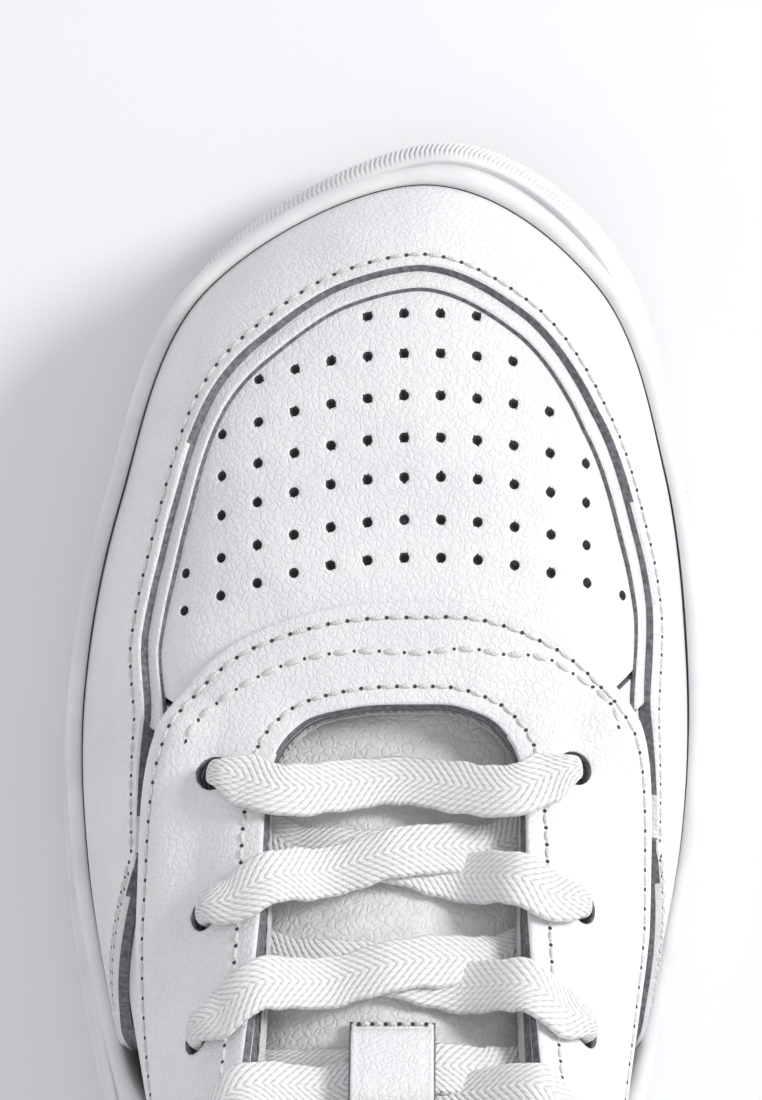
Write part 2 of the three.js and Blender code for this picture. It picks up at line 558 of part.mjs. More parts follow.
function strand(start) {
  let side = start;
  const keys = [pitchTongue(0, 0, UPPER_STRAND - 0.6), edgeKey(0, side, 2.5, facingTop + 1.1), ...intoEyelet(0, side)];
  for (let row = 0; row + 1 < EYELET_ROWS; row++) {
    keys.push(...crossing(row, side, side > 0 ? UPPER_STRAND : LOWER_STRAND));
    side = -side;
    keys.push(...intoEyelet(row + 1, side));
  }
  keys.push(facingKey(TOP, side, 5, liningInner - 2.05, TUCKED), tongueKey(KNOT_ROW - 0.3, side * 0.4, 1.8, 0.9),
    tongueKey(KNOT_ROW, side * 0.1, 3.5, 0.7));
  return ribbon(keys, 1.5);
}
function ribbon(keys, detail) {
  const n = keys.length - 1;
  const pick = (k, c) => [keys[Math.floor(k * n)][c], keys[Math.min(n, Math.floor(k * n) + 1)][c], (k * n) % 1];
  return band(keys.map((key) => key[0]), Math.round(n * detail),
    (k) => pick(k, 1)[0].clone().lerp(pick(k, 1)[1], pick(k, 1)[2]),
    (k) => [LACE_WIDTH * blend(...pick(k, 2)), LACE_THICKNESS]);
}
const TOP = EYELET_ROWS - 1;
const KNOT_ROW = 9.6;
const knotAxis = tongueKey(KNOT_ROW, 0, 0)[1];
const knot = new THREE.SphereGeometry(1, 12, 8).scale(8, 5, 4.4)
  .applyMatrix4(new THREE.Matrix4().makeBasis(X_AXIS, knotAxis, X_AXIS.clone().cross(knotAxis)))
  .translate(...onTongue(KNOT_ROW, 0, 5.4));
function outside(side, throat, mm, h, w = 1) {
  const u = onSide(throat, side);
  const d = lay(onSide(throat - 0.05, side), mm, h).sub(lay(onSide(throat + 0.05, side), mm, h));
  return [lay(u, mm, h), d.normalize(), w];
}
function bow(side) {
  const at = (throat, mm, h) => outside(side, throat, mm, h);
  return ribbon([
    tongueKey(KNOT_ROW, side * 0.12, 5, 0.6), at(5.28, 1, 8), at(5.35, 13, 6.5), at(5.45, 25, 5.5),
    at(5.55, 33, 9), at(5.5, 26, 13), at(5.4, 14, 14.5), at(5.28, 2, 12.5), tongueKey(KNOT_ROW, side * 0.12, 7, 0.6),
  ], 2);
}
const laceParts = [strand(-1), strand(1), knot, bow(-1), bow(1)].map(toManifold);
add("lace", fromManifold(laceParts.reduce((a, b) => a.add(b))), "lace");

// Free ends, hanging from the bow down each side: points on the outer side, and the way the flat of the lace faces
const AGLET_LENGTH = 20, AGLET_RADIUS = 1.7;
const TAIL_ROUTE = [
  [-9.5, -33.5, 152], [-20, -31.5, 148.5], [-30, -31, 142], [-36.5, -33, 133], [-39.8, -36, 121],
  [-41, -37.5, 108], [-41.2, -37.5, 95], [-42, -37, 82], [-43, -36.5, 69], [-43.6, -36.5, 60],
];
const TAIL_FACING = [
  [0, 1, 0.3], [-0.15, 1, 0.3], [-0.5, 0.85, 0.3], [-0.85, 0.5, 0.2], [-0.97, 0.2, 0.1],
  [-1, 0.1, 0.1], [-1, 0.05, 0.1], [-1, 0.05, 0.1], [-1, 0, 0.1], [-1, 0, 0.1],
];
const CENTRE_X = 0.75;
const mirrored = ([x, y, z], side, about = 0) => V((side < 0 ? x : 2 * about - x) * kx, y * ky, z * kz);
function tail(side) {
  const route = TAIL_ROUTE.map((p) => mirrored(p, side, CENTRE_X));
  const facings = TAIL_FACING.map((n) => mirrored(n, side));
  const last = route.length - 1;
  const facingFor = (k) => facings[Math.floor(k * last)].clone()
    .lerp(facings[Math.min(last, Math.floor(k * last) + 1)], (k * last) % 1);
  return [route, band(route, 2 * last, (k, along) => facingFor(k).cross(along),
    (k) => [LACE_WIDTH * blend(0.7, 1, smooth(k, 0, 0.15)) * blend(1, 0.4, smooth(k, 0.9, 1)), LACE_THICKNESS])];
}
for (const [name, side] of [["lateral", -1], ["medial", 1]]) {
  const [route, solid] = tail(side);
  add(`lace_end_${name}`, solid, "lace");
  const end = route[route.length - 1], along = end.clone().sub(route[route.length - 2]).normalize();
  const aglet = new THREE.CylinderGeometry(AGLET_RADIUS, AGLET_RADIUS, AGLET_LENGTH, 10);
  aglet.applyQuaternion(new THREE.Quaternion().setFromUnitVectors(V(0, 1, 0), along));
  add(`aglet_${name}`, aglet.translate(...end.addScaledVector(along, AGLET_LENGTH / 2 + GAP)), "plastic");
}

// Keeper on the tongue: sewn at both ends, the third crossing runs under it
const KEEPER_WIDTH = 14;
const keeperKeys = [[2.0, 1.0], [2.14, 1.0], [2.26, 5.8], [2.6, 7.2], [2.94, 6.8], [3.05, 1.0], [3.18, 1.0]];
add("tongue_keeper", band(keeperKeys.map(([k, h]) => pitchTongue(k, 0, h)[0]), 12, () => X_AXIS.clone(),
  () => [KEEPER_WIDTH, THIN_LEATHER + 0.2]), "leather");

// Pull tab at the heel: a folded strap standing above the collar
const tabKeys = [
  [30, 2.9, 0], [12, 2.9, 0], [0, 3.4, 3], [0, 3.8, 14], [0, 6, 17], [0, 8, 14], [0, 7, 3], [12, 6, 0], [26, 6, 0],
];
add("heel_tab", band(tabKeys.map(([down, h, up]) => raised(0, drop(0, down), h).add(V(0, 0, up))), 24,
  () => X_AXIS.clone(), () => [14, LEATHER]), "leather");

export default shoe;
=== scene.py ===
import math

import bpy
import numpy as np
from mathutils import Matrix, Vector


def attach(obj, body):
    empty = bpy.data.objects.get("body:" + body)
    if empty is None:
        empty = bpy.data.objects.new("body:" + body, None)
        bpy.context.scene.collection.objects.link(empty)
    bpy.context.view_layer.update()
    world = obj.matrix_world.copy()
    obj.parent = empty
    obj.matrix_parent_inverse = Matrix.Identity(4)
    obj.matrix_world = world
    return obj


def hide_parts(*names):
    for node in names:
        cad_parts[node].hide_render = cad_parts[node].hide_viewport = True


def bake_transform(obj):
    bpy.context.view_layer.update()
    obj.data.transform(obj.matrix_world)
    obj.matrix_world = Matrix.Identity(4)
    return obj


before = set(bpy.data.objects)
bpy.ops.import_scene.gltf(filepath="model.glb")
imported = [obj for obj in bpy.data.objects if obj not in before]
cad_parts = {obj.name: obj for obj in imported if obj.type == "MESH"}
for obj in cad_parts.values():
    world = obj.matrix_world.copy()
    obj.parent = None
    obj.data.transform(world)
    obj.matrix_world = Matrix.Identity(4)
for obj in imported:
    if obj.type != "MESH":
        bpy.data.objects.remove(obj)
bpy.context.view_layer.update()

MM = 0.001

# Camera at the photograph's angle, then the free ends of the lace
camera = bpy.data.objects.new("camera", bpy.data.cameras.new("camera"))
bpy.context.scene.collection.objects.link(camera)
bpy.context.scene.camera = camera
camera.data.sensor_fit = "HORIZONTAL"
camera.data.sensor_width = 36
camera.data.lens = 264
camera.data.clip_start, camera.data.clip_end = 0.05, 10
camera.location = (-0.0012, 0.079, 1.0)
camera.rotation_euler = (0, 0, 0)

LACE_WIDTH, LACE_THICKNESS = 8.6, 1.3
CENTRE_X = 0.75
TAIL_ROUTE = [
    [-9.5, -33.5, 152], [-20, -31.5, 148.5], [-30, -31, 142], [-36.5, -33, 133], [-39.8, -36, 121],
    [-41, -37.5, 108], [-41.2, -37.5, 95], [-42, -37, 82], [-43, -36.5, 69], [-43.6, -36.5, 60],
]
TAIL_FACING = [
    [0, 1, 0.3], [-0.15, 1, 0.3], [-0.5, 0.85, 0.3], [-0.85, 0.5, 0.2], [-0.97, 0.2, 0.1],
    [-1, 0.1, 0.1], [-1, 0.05, 0.1], [-1, 0.05, 0.1], [-1, 0, 0.1], [-1, 0, 0.1],
]

# The last surface, as in the CAD: u runs round 24 stations from the heel, t from the feather line to the top line
STATIONS = 24
TOE_SPRING, FOREFOOT_BOARD, HEEL_LIFT, SIDEWALL_TOP = 9, 13, 7, 26
LAST = np.array([
    [4, -140, 4, -137, 150, 44, -4, 42], [-14, -136, -15, -132, 147, 44, -4, 42],
    [-26, -122, -28, -117, 143, 42, -3, 42], [-30.5, -102, -35, -96, 143, 38, -3, 42],
    [-31.5, -78, -35, -70, 151, 36, -2, 44], [-33, -52, -29, -46, 163, 34, 1, 46],
    [-37, -24, -26, -35, 134, 31, 8, 28], [-43, 1, -23, -12, 103, 28, 13, 13],
    [-47.8, 27, -20.5, 17, 83.5, 26, 14, 6], [-48.2, 55, -19.5, 40, 71, 26, 18, 5],
    [-42, 87, -14.5, 49, 66.3, 28, 27, 7], [-28.6, 121.6, -5.5, 52, 66, 31, 36, 9],
    [6, 138.8, 5, 52.5, 66, 32, 39, 10], [32.6, 123.2, 12, 52, 66, 31, 36, 9],
    [43.4, 93, 18.5, 48.5, 66.5, 28, 27, 7], [47.4, 60, 22, 40, 71, 26, 18, 5],
    [46.5, 31, 22.2, 17, 83.5, 26, 14, 6], [41, 4, 23.8, -12, 103, 28, 13, 13],
    [35.5, -24, 27, -35, 134, 31, 8, 28], [33, -52, 30.5, -46, 163, 34, 1, 46],
    [34, -78, 38, -70, 151, 36, -2, 44], [36.5, -102, 42, -96, 143, 38, -3, 42],
    [33, -122, 35, -117, 143, 42, -3, 42], [22, -136, 22.5, -132, 147, 44, -4, 42],
], float)
SOLE = np.array([
    [3.5, -151], [-17.5, -146], [-32, -132], [-38.5, -111], [-41, -83], [-44.5, -54], [-49, -25], [-54, 1],
    [-57, 27], [-56.4, 56], [-48.3, 90.5], [-31.8, 130.2], [7.7, 151], [37, 137], [50.3, 107], [55.9, 65],
    [54.5, 32], [49.5, 4], [44, -26], [41.8, -54], [42.5, -81], [44.5, -108], [39.5, -131], [25, -146],
], float)


def smooth(x, a, b):
    k = np.clip((np.asarray(x, float) - a) / (b - a), 0, 1)
    return k * k * (3 - 2 * k)


def blend(a, b, k):
    return a + (b - a) * k


def ground(y):
    toe, heel = np.maximum(0, (y - 60) / 92), np.maximum(0, (-125 - y) / 26)
    return TOE_SPRING * toe**2 + 2 * heel**2


def board_height(y):
    return FOREFOOT_BOARD + ground(y) + HEEL_LIFT * smooth(-y, -10, 90)


def sidewall_height(y):
    return SIDEWALL_TOP + 6 * smooth(-y, -10, 100) + 0.25 * ground(y)


def ring(control, u):
    """Closed Catmull-Rom curve through the control points, one per station."""
    u = np.mod(np.asarray(u, float), STATIONS)
    i = np.floor(u).astype(int) % STATIONS
    w = (u - np.floor(u))[..., None]
    p0, p1, p2, p3 = (control[(i + k) % STATIONS] for k in (-1, 0, 1, 2))
    m1, m2 = (p2 - p0) / 2, (p3 - p1) / 2
    return ((2 * p1 - 2 * p2 + m1 + m2) * w**3 + (3 * p2 - 3 * p1 - 2 * m1 - m2) * w**2 + m1 * w + p1)


def unit(v):
    return v / np.maximum(np.linalg.norm(v, axis=-1, keepdims=True), 1e-12)


def plan_normal(control, u):
    d = ring(control, np.asarray(u) + 0.01) - ring(control, np.asarray(u) - 0.01)
    # the loop runs clockwise seen from above, so its left side points outward
    return unit(np.stack([-d[..., 1], d[..., 0], 0 * d[..., 0]], -1))


def xyz(x, y, z):
    return np.stack([x + 0 * z, y + 0 * z, z + 0 * x], -1)


ALL = np.arange(STATIONS)
SOLE_LINE = xyz(SOLE[:, 0], SOLE[:, 1], 0 * SOLE[:, 0])
FEATHER = xyz(LAST[:, 0], LAST[:, 1], board_height(LAST[:, 1]))
TOPLINE = LAST[:, 2:5].copy()
LOWER = FEATHER + xyz(0 * ALL, 0 * ALL, LAST[:, 5]) + 6 * plan_normal(FEATHER, ALL)
AWAY = unit(xyz(LAST[:, 0] - LAST[:, 2], LAST[:, 1] - LAST[:, 3], 0.0 * ALL) + 25 * plan_normal(FEATHER, ALL))
UPPER = xyz(LAST[:, 2], LAST[:, 3], LAST[:, 4] - LAST[:, 7]) + AWAY * LAST[:, 6:7]


def surface(u, t):
    u, t = np.broadcast_arrays(np.asarray(u, float), np.asarray(t, float))
    t = t[..., None]
    k = 1 - t
    return (ring(FEATHER, u) * k**3 + 3 * ring(LOWER, u) * k**2 * t + 3 * ring(UPPER, u) * k * t**2
            + ring(TOPLINE, u) * t**3)


def surface_normal(u, t):
    du = surface(u + 0.02, t) - surface(u - 0.02, t)
    dt = surface(u, np.minimum(1, t + 1e-3)) - surface(u, np.maximum(0, t - 1e-3))
    return unit(np.cross(dt, du))


def raised(u, t, h):
    u, t, h = np.broadcast_arrays(*(np.asarray(v, float) for v in (u, t, h)))
    return surface(u, t) + surface_normal(u, t) * h[..., None]


# Girths along each station, for placing edges in millimetres
GIRTH_COLUMNS, GIRTH_STEPS = 40, 40
_t = np.linspace(0, 1, GIRTH_STEPS + 1)
_u = np.arange(STATIONS * GIRTH_COLUMNS) / GIRTH_COLUMNS
_points = surface(_u[:, None], _t[None, :])
GIRTHS = np.concatenate(
    [np.zeros((len(_u), 1)), np.cumsum(np.linalg.norm(np.diff(_points, axis=1), axis=-1), 1)], 1)


def girth(u):
    f = np.mod(np.asarray(u, float), STATIONS) * GIRTH_COLUMNS
    i = np.floor(f).astype(int) % len(GIRTHS)
    w = (f - np.floor(f))[..., None]
    return GIRTHS[i] * (1 - w) + GIRTHS[(i + 1) % len(GIRTHS)] * w


def full_rise(u):
    return girth(u)[..., -1]


def rise(u, mm):
    u, mm = np.broadcast_arrays(np.asarray(u, float), np.asarray(mm, float))
    sums = girth(u)
    i = np.clip((sums < mm[..., None]).sum(-1), 1, GIRTH_STEPS)
    a = np.take_along_axis(sums, (i - 1)[..., None], -1)[..., 0]
    b = np.take_along_axis(sums, i[..., None], -1)[..., 0]
    return np.clip((i - 1 + (mm - a) / (b - a)) / GIRTH_STEPS, 0, 1)


def drop(u, mm):
    return rise(u, full_rise(u) - mm)


def profile(pairs):
    """Smooth curve through a short list of (position, value) pairs."""
    xs, ys = np.array(pairs, float).T

    def curve(x):
        x = np.clip(np.asarray(x, float), xs[0], xs[-1])
        i = np.clip(np.searchsorted(xs, x, side="left"), 1, len(xs) - 1)
        k = (x - xs[i - 1]) / (xs[i] - xs[i - 1])
        return blend(ys[i - 1], ys[i], 0.5 * k + 0.5 * k * k * (3 - 2 * k))
    return curve


def centripetal(points, t):
    """Open centripetal Catmull-Rom curves: points is (..., count, 3), t runs 0 to 1, one value per curve."""
    points, t = np.asarray(points, float), np.asarray(t, float)
    count = points.shape[-2]
    first = 2 * points[..., :1, :] - points[..., 1:2, :]
    final = 2 * points[..., -1:, :] - points[..., -2:-1, :]
    padded = np.concatenate([first, points, final], -2)
    p = np.clip(t, 0, 1) * (count - 1)
    i = np.minimum(np.floor(p).astype(int), count - 2)
    w = (p - i)[..., None]
    shape = np.broadcast_shapes(t.shape, padded.shape[:-2])
    padded = np.broadcast_to(padded, shape + padded.shape[-2:])
    i = np.broadcast_to(i, shape)
    w = np.broadcast_to(w, shape + (1,))
    x0, x1, x2, x3 = (np.take_along_axis(padded, (i + k)[..., None, None], -2)[..., 0, :] for k in range(4))
    d0, d1, d2 = (np.maximum(((b - a) ** 2).sum(-1, keepdims=True) ** 0.25, 1e-9)
                  for a, b in ((x0, x1), (x1, x2), (x2, x3)))
    m1 = ((x1 - x0) / d0 - (x2 - x0) / (d0 + d1) + (x2 - x1) / d1) * d1
    m2 = ((x2 - x1) / d1 - (x3 - x1) / (d1 + d2) + (x3 - x2) / d2) * d1
    return (2 * x1 - 2 * x2 + m1 + m2) * w**3 + (3 * x2 - 3 * x1 - 2 * m1 - m2) * w**2 + m1 * w + x1


# ---------------------------------------------------------------- materials
COAT_ROUGHNESS, ROUGHNESS_SPREAD = 0.25, 0.06
PER_METRE = 1000


def set_inputs(node, **values):
    """Sets sockets by name, with an underscore for each space."""
    for name, value in values.items():
        node.inputs[name.replace("_", " ")].default_value = value
    return node


def new_material(name):
    mat = bpy.data.materials.new(name)
    mat.use_nodes = True
    nodes = mat.node_tree.nodes

    def add(kind, **values):
        return set_inputs(nodes.new("ShaderNode" + kind), **values)
    return mat, nodes["Principled BSDF"], add, mat.node_tree.links.new


def colour_ramp(add, stops):
    ramp = add("ValToRGB")
    for element, (position, colour) in zip(ramp.color_ramp.elements, stops):
        element.position, element.color = position, (*colour, 1)
    return ramp


def add_bump(add, link, height, mm, normal=None):
    bump = add("Bump", Distance=mm * MM, Strength=1)
    link(height, bump.inputs["Height"])
    if normal:
        link(normal, bump.inputs["Normal"])
    return bump.outputs["Normal"]


def bump_height(add, link, place, kind, size):
    """The height texture of one bump: noise, pebble, or diagonal bands for weave and braid."""
    if kind == "noise":
        texture = add("TexNoise", Scale=PER_METRE / size, Detail=5)
        link(place, texture.inputs["Vector"])
        return texture.outputs["Fac"]
    if kind == "pebble":
        warp = add("TexNoise", Scale=0.7 * PER_METRE / size)
        warped = add("VectorMath")
        warped.operation = "MULTIPLY_ADD"
        warped.inputs[1].default_value = (size * 0.0012,) * 3
        link(place, warp.inputs["Vector"])
        link(warp.outputs["Color"], warped.inputs[0])
        link(place, warped.inputs[2])
        texture = add("TexVoronoi", Scale=PER_METRE / size)
        texture.feature = "DISTANCE_TO_EDGE"
        link(warped.outputs["Vector"], texture.inputs["Vector"])
        edge = add("MapRange", From_Max=0.22)
        edge.interpolation_type = "SMOOTHSTEP"
        link(texture.outputs["Distance"], edge.inputs["Value"])
        return edge.outputs["Result"]
    texture = add("TexWave", Scale=PER_METRE / size / math.pi, Distortion=0.4, Detail=1)
    texture.wave_type, texture.bands_direction = "BANDS", "DIAGONAL"
    link(place, texture.inputs["Vector"])
    return texture.outputs["Fac"]


def material(name, colour, roughness, bumps=(), tint=None, coat=0.0, sheen=0.0, transmission=0.0):
    """bumps: (kind, size in mm, height in mm). tint: (second colour, size in mm) of slow colour variation."""
    mat, shader, add, link = new_material(name)
    set_inputs(shader, Base_Color=(*colour, 1), Roughness=roughness, Coat_Weight=coat,
               Coat_Roughness=COAT_ROUGHNESS, Sheen_Weight=sheen, Transmission_Weight=transmission)
    place = add("TexCoord").outputs["Object"]
    if tint:
        other, size = tint
        noise = add("TexNoise", Scale=PER_METRE / size, Detail=4)
        link(place, noise.inputs["Vector"])
        ramp = colour_ramp(add, ((0.35, colour), (0.7, other)))
        link(noise.outputs["Fac"], ramp.inputs["Fac"])
        link(ramp.outputs["Color"], shader.inputs["Base Color"])
        rough = add("MapRange", To_Min=roughness - ROUGHNESS_SPREAD, To_Max=roughness + ROUGHNESS_SPREAD)
        link(noise.outputs["Fac"], rough.inputs["Value"])
        link(rough.outputs["Result"], shader.inputs["Roughness"])
    normal = None
    for kind, size, height in bumps:
        normal = add_bump(add, link, bump_height(add, link, place, kind, size), height, normal)
    if normal:
        link(normal, shader.inputs["Normal"])
    return mat


def braid_material(name, colour):
    """Flat woven lace: two sets of diagonal yarns from the strip's own coordinates, u across and v along in mm."""
    mat, shader, add, link = new_material(name)
    set_inputs(shader, Roughness=0.9, Sheen_Weight=0.35)
    uv = add("UVMap")
    uv.uv_map = "UVMap"
    parts = add("SeparateXYZ")
    link(uv.outputs["UV"], parts.inputs["Vector"])

    def maths(operation, *values):
        node = add("Math")
        node.operation = operation
        for socket, value in zip(node.inputs, values):
            if isinstance(value, (int, float)):
                socket.default_value = value
            else:
                link(value, socket)
        return node.outputs[0]

    # herringbone: the yarns lean one way on each half of the width
    centre = maths("ABSOLUTE", maths("SUBTRACT", parts.outputs["X"], 0.5))
    along = maths("ADD", parts.outputs["Y"], maths("MULTIPLY", centre, LACE_WIDTH * 1.15))
    yarn = maths("ABSOLUTE", maths("SINE", maths("MULTIPLY", along, math.pi / 1.45)))
    across = maths("ABSOLUTE", maths("SINE", maths("MULTIPLY", parts.outputs["X"], math.pi * 9)))
    height = maths("ADD", maths("POWER", yarn, 0.6), maths("MULTIPLY", maths("POWER", across, 0.6), 0.55))
    fibre = add("TexNoise", Scale=3600, Detail=3)
    link(add("TexCoord").outputs["Object"], fibre.inputs["Vector"])
    height = maths("ADD", height, maths("MULTIPLY", fibre.outputs["Fac"], 0.7))
    # painted shade: the colour follows the bump height, so the low parts between the yarns are darker; the fibre noise
    # in the height adds random tone
    ramp = colour_ramp(add, ((0.25, [c * 0.86 for c in colour]), (1.0, colour)))
    link(maths("MULTIPLY", height, 0.55), ramp.inputs["Fac"])
    link(ramp.outputs["Color"], shader.inputs["Base Color"])
    link(add_bump(add, link, height, 0.25), shader.inputs["Normal"])
    return mat


WHITE = (0.86, 0.86, 0.865)
LEATHER = material("white_leather", WHITE, 0.46,
                   [("pebble", 1.25, 0.075), ("noise", 2.6, 0.12), ("noise", 0.35, 0.025), ("noise", 11, 0.3)],
                   tint=((0.80, 0.80, 0.81), 14), coat=0.12)
GRAIN = material("grained_leather", (0.85, 0.85, 0.85), 0.52,
                 [("pebble", 1.5, 0.09), ("noise", 5, 0.35), ("noise", 0.4, 0.02)],
                 tint=((0.76, 0.76, 0.76), 6), coat=0.06)
# the cut edges' own grey core, made much darker as painted shade: the dark line along each edge is partly shadow
RAW_EDGE_AND_SHADE = material("raw_edge_and_painted_shade", (0.11, 0.115, 0.125), 0.95, [("noise", 0.35, 0.2)], tint=((0.25, 0.255, 0.27), 0.9))
# painted shade: a near-black colour for the floors of the needle holes and the vent holes, where only shade falls
HOLE_SHADE = material("painted_hole_shade", (0.055, 0.055, 0.06), 0.95, [("noise", 0.3, 0.05)])
# the punched holes' walls: the cut edge's grey, darkened as painted shade inside the holes
PUNCHED_EDGE_AND_SHADE = material("punched_edge_and_painted_shade", (0.16, 0.165, 0.18), 0.95, [("noise", 0.3, 0.12)], tint=((0.30, 0.30, 0.32), 0.8))
THREAD = material("thread", (0.72, 0.72, 0.69), 0.7, [("braid", 0.35, 0.06)], sheen=0.2)
KNIT = material("knit_lining", (0.70, 0.70, 0.69), 0.95, [("weave", 0.7, 0.12), ("pebble", 1.1, 0.12)],
                tint=((0.58, 0.58, 0.575), 4), sheen=0.3)
FOAM = material("foam", (0.78, 0.72, 0.58), 0.95, [("pebble", 0.6, 0.1), ("noise", 0.4, 0.05)])
CUP = material("cup_rubber", (0.84, 0.84, 0.84), 0.5, [("noise", 0.25, 0.012), ("noise", 3, 0.05)],
               tint=((0.74, 0.74, 0.75), 11))
TREAD = material("tread_rubber", (0.76, 0.76, 0.755), 0.62, [("noise", 0.5, 0.04)], tint=((0.68, 0.68, 0.67), 7))
BOARD = material("fibre_board", (0.62, 0.56, 0.44), 0.9, [("noise", 0.6, 0.08)], tint=((0.5, 0.45, 0.36), 2))
SOCK = material("sock_cloth", (0.66, 0.66, 0.66), 0.95, [("weave", 0.9, 0.12), ("noise", 0.4, 0.05)], sheen=0.3,
                tint=((0.56, 0.56, 0.56), 3))
STIFF = material("stiffener_sheet", (0.62, 0.65, 0.68), 0.8, [("noise", 0.7, 0.05)], tint=((0.52, 0.55, 0.6), 3))
COTTON = braid_material("cotton_braid", (0.93, 0.93, 0.93))
TIP = material("clear_plastic", (0.86, 0.88, 0.9), 0.12, [("noise", 1.5, 0.02)], coat=0.5, transmission=0.55)
NODE_MATERIALS = {
    "outsole": TREAD, "cupsole": CUP, "midsole_foam": FOAM, "strobel_board": BOARD, "sockliner": SOCK,
    "toe_puff": STIFF, "heel_counter": STIFF, "vamp_lining": KNIT, "quarter_lining_lateral": KNIT,
    "quarter_lining_medial": KNIT, "aglet_lateral": TIP, "aglet_medial": TIP,
}
for node, mat in NODE_MATERIALS.items():
    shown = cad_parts[node]
    shown.data.materials.clear()
    shown.data.materials.append(mat)


# ---------------------------------------------------------------- meshes
def piece(name, points, faces, materials, replaced=(), marks=None, body="upper", uv=None):
    """Makes an object from points in millimetres and face lists; marks gives each face's material index."""
    mesh = bpy.data.meshes.new(name)
    faces = [np.asarray(f) for f in faces if len(f)]
    sizes = np.concatenate([np.full(len(f), f.shape[1]) for f in faces])
    flat = np.concatenate([f.ravel() for f in faces])
    mesh.vertices.add(len(points))
    mesh.vertices.foreach_set("co", (np.asarray(points) * MM).astype(np.float32).ravel())
    mesh.loops.add(len(flat))
    mesh.loops.foreach_set("vertex_index", flat.astype(np.int32))
    mesh.polygons.add(len(sizes))
    mesh.polygons.foreach_set("loop_start", np.concatenate([[0], np.cumsum(sizes)[:-1]]).astype(np.int32))
    for mat in materials:
        mesh.materials.append(mat)
    if marks is not None:
        mesh.polygons.foreach_set("material_index", np.concatenate(marks).astype(np.int32))
    if uv is not None:
        layer = mesh.uv_layers.new(name="UVMap")
        layer.data.foreach_set("uv", np.asarray(uv)[flat].astype(np.float32).ravel())
    mesh.polygons.foreach_set("use_smooth", np.ones(len(sizes), bool))
    mesh.update()
    mesh.validate()
    obj = bpy.data.objects.new(name, mesh)
    bpy.context.scene.collection.objects.link(obj)
    if body:
        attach(obj, body)
    if replaced:
        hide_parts(*replaced)
    return obj


def quads_of(*corners):
    return np.stack(corners, -1).reshape(-1, 4)


def grid_quads(index):
    return quads_of(index[:-1, :-1], index[1:, :-1], index[1:, 1:], index[:-1, 1:])


def tube_quads(index):
    """index is (..., rings, points round)."""
    nxt = np.roll(index, -1, axis=-1)
    return quads_of(index[..., :-1, :], nxt[..., :-1, :], nxt[..., 1:, :], index[..., 1:, :])


def edge_lines(length, step, fine=(0, 0.12, 0.3, 0.55, 0.9, 1.4)):
    """Positions 0 to 1 across a length in mm: close together near both edges, then about step apart."""
    fine = np.array([f for f in fine if f < length / 2.5])
    middle = np.linspace(fine[-1], length - fine[-1], max(2, int(round((length - 2 * fine[-1]) / step)) + 1))
    return np.concatenate([fine[:-1], middle, (length - fine[:-1])[::-1]]) / length


def edge_distances(grid):
    """Distance in mm along the grid lines from each point to each side: i low, i high, j low, j high."""
    far = []
    for axis in (0, 1):
        steps = np.linalg.norm(np.diff(grid, axis=axis), axis=-1)
        sums = np.concatenate([np.zeros_like(np.take(steps, [0], axis)), np.cumsum(steps, axis)], axis)
        far += [sums, np.take(sums, [-1], axis) - sums]
    return far


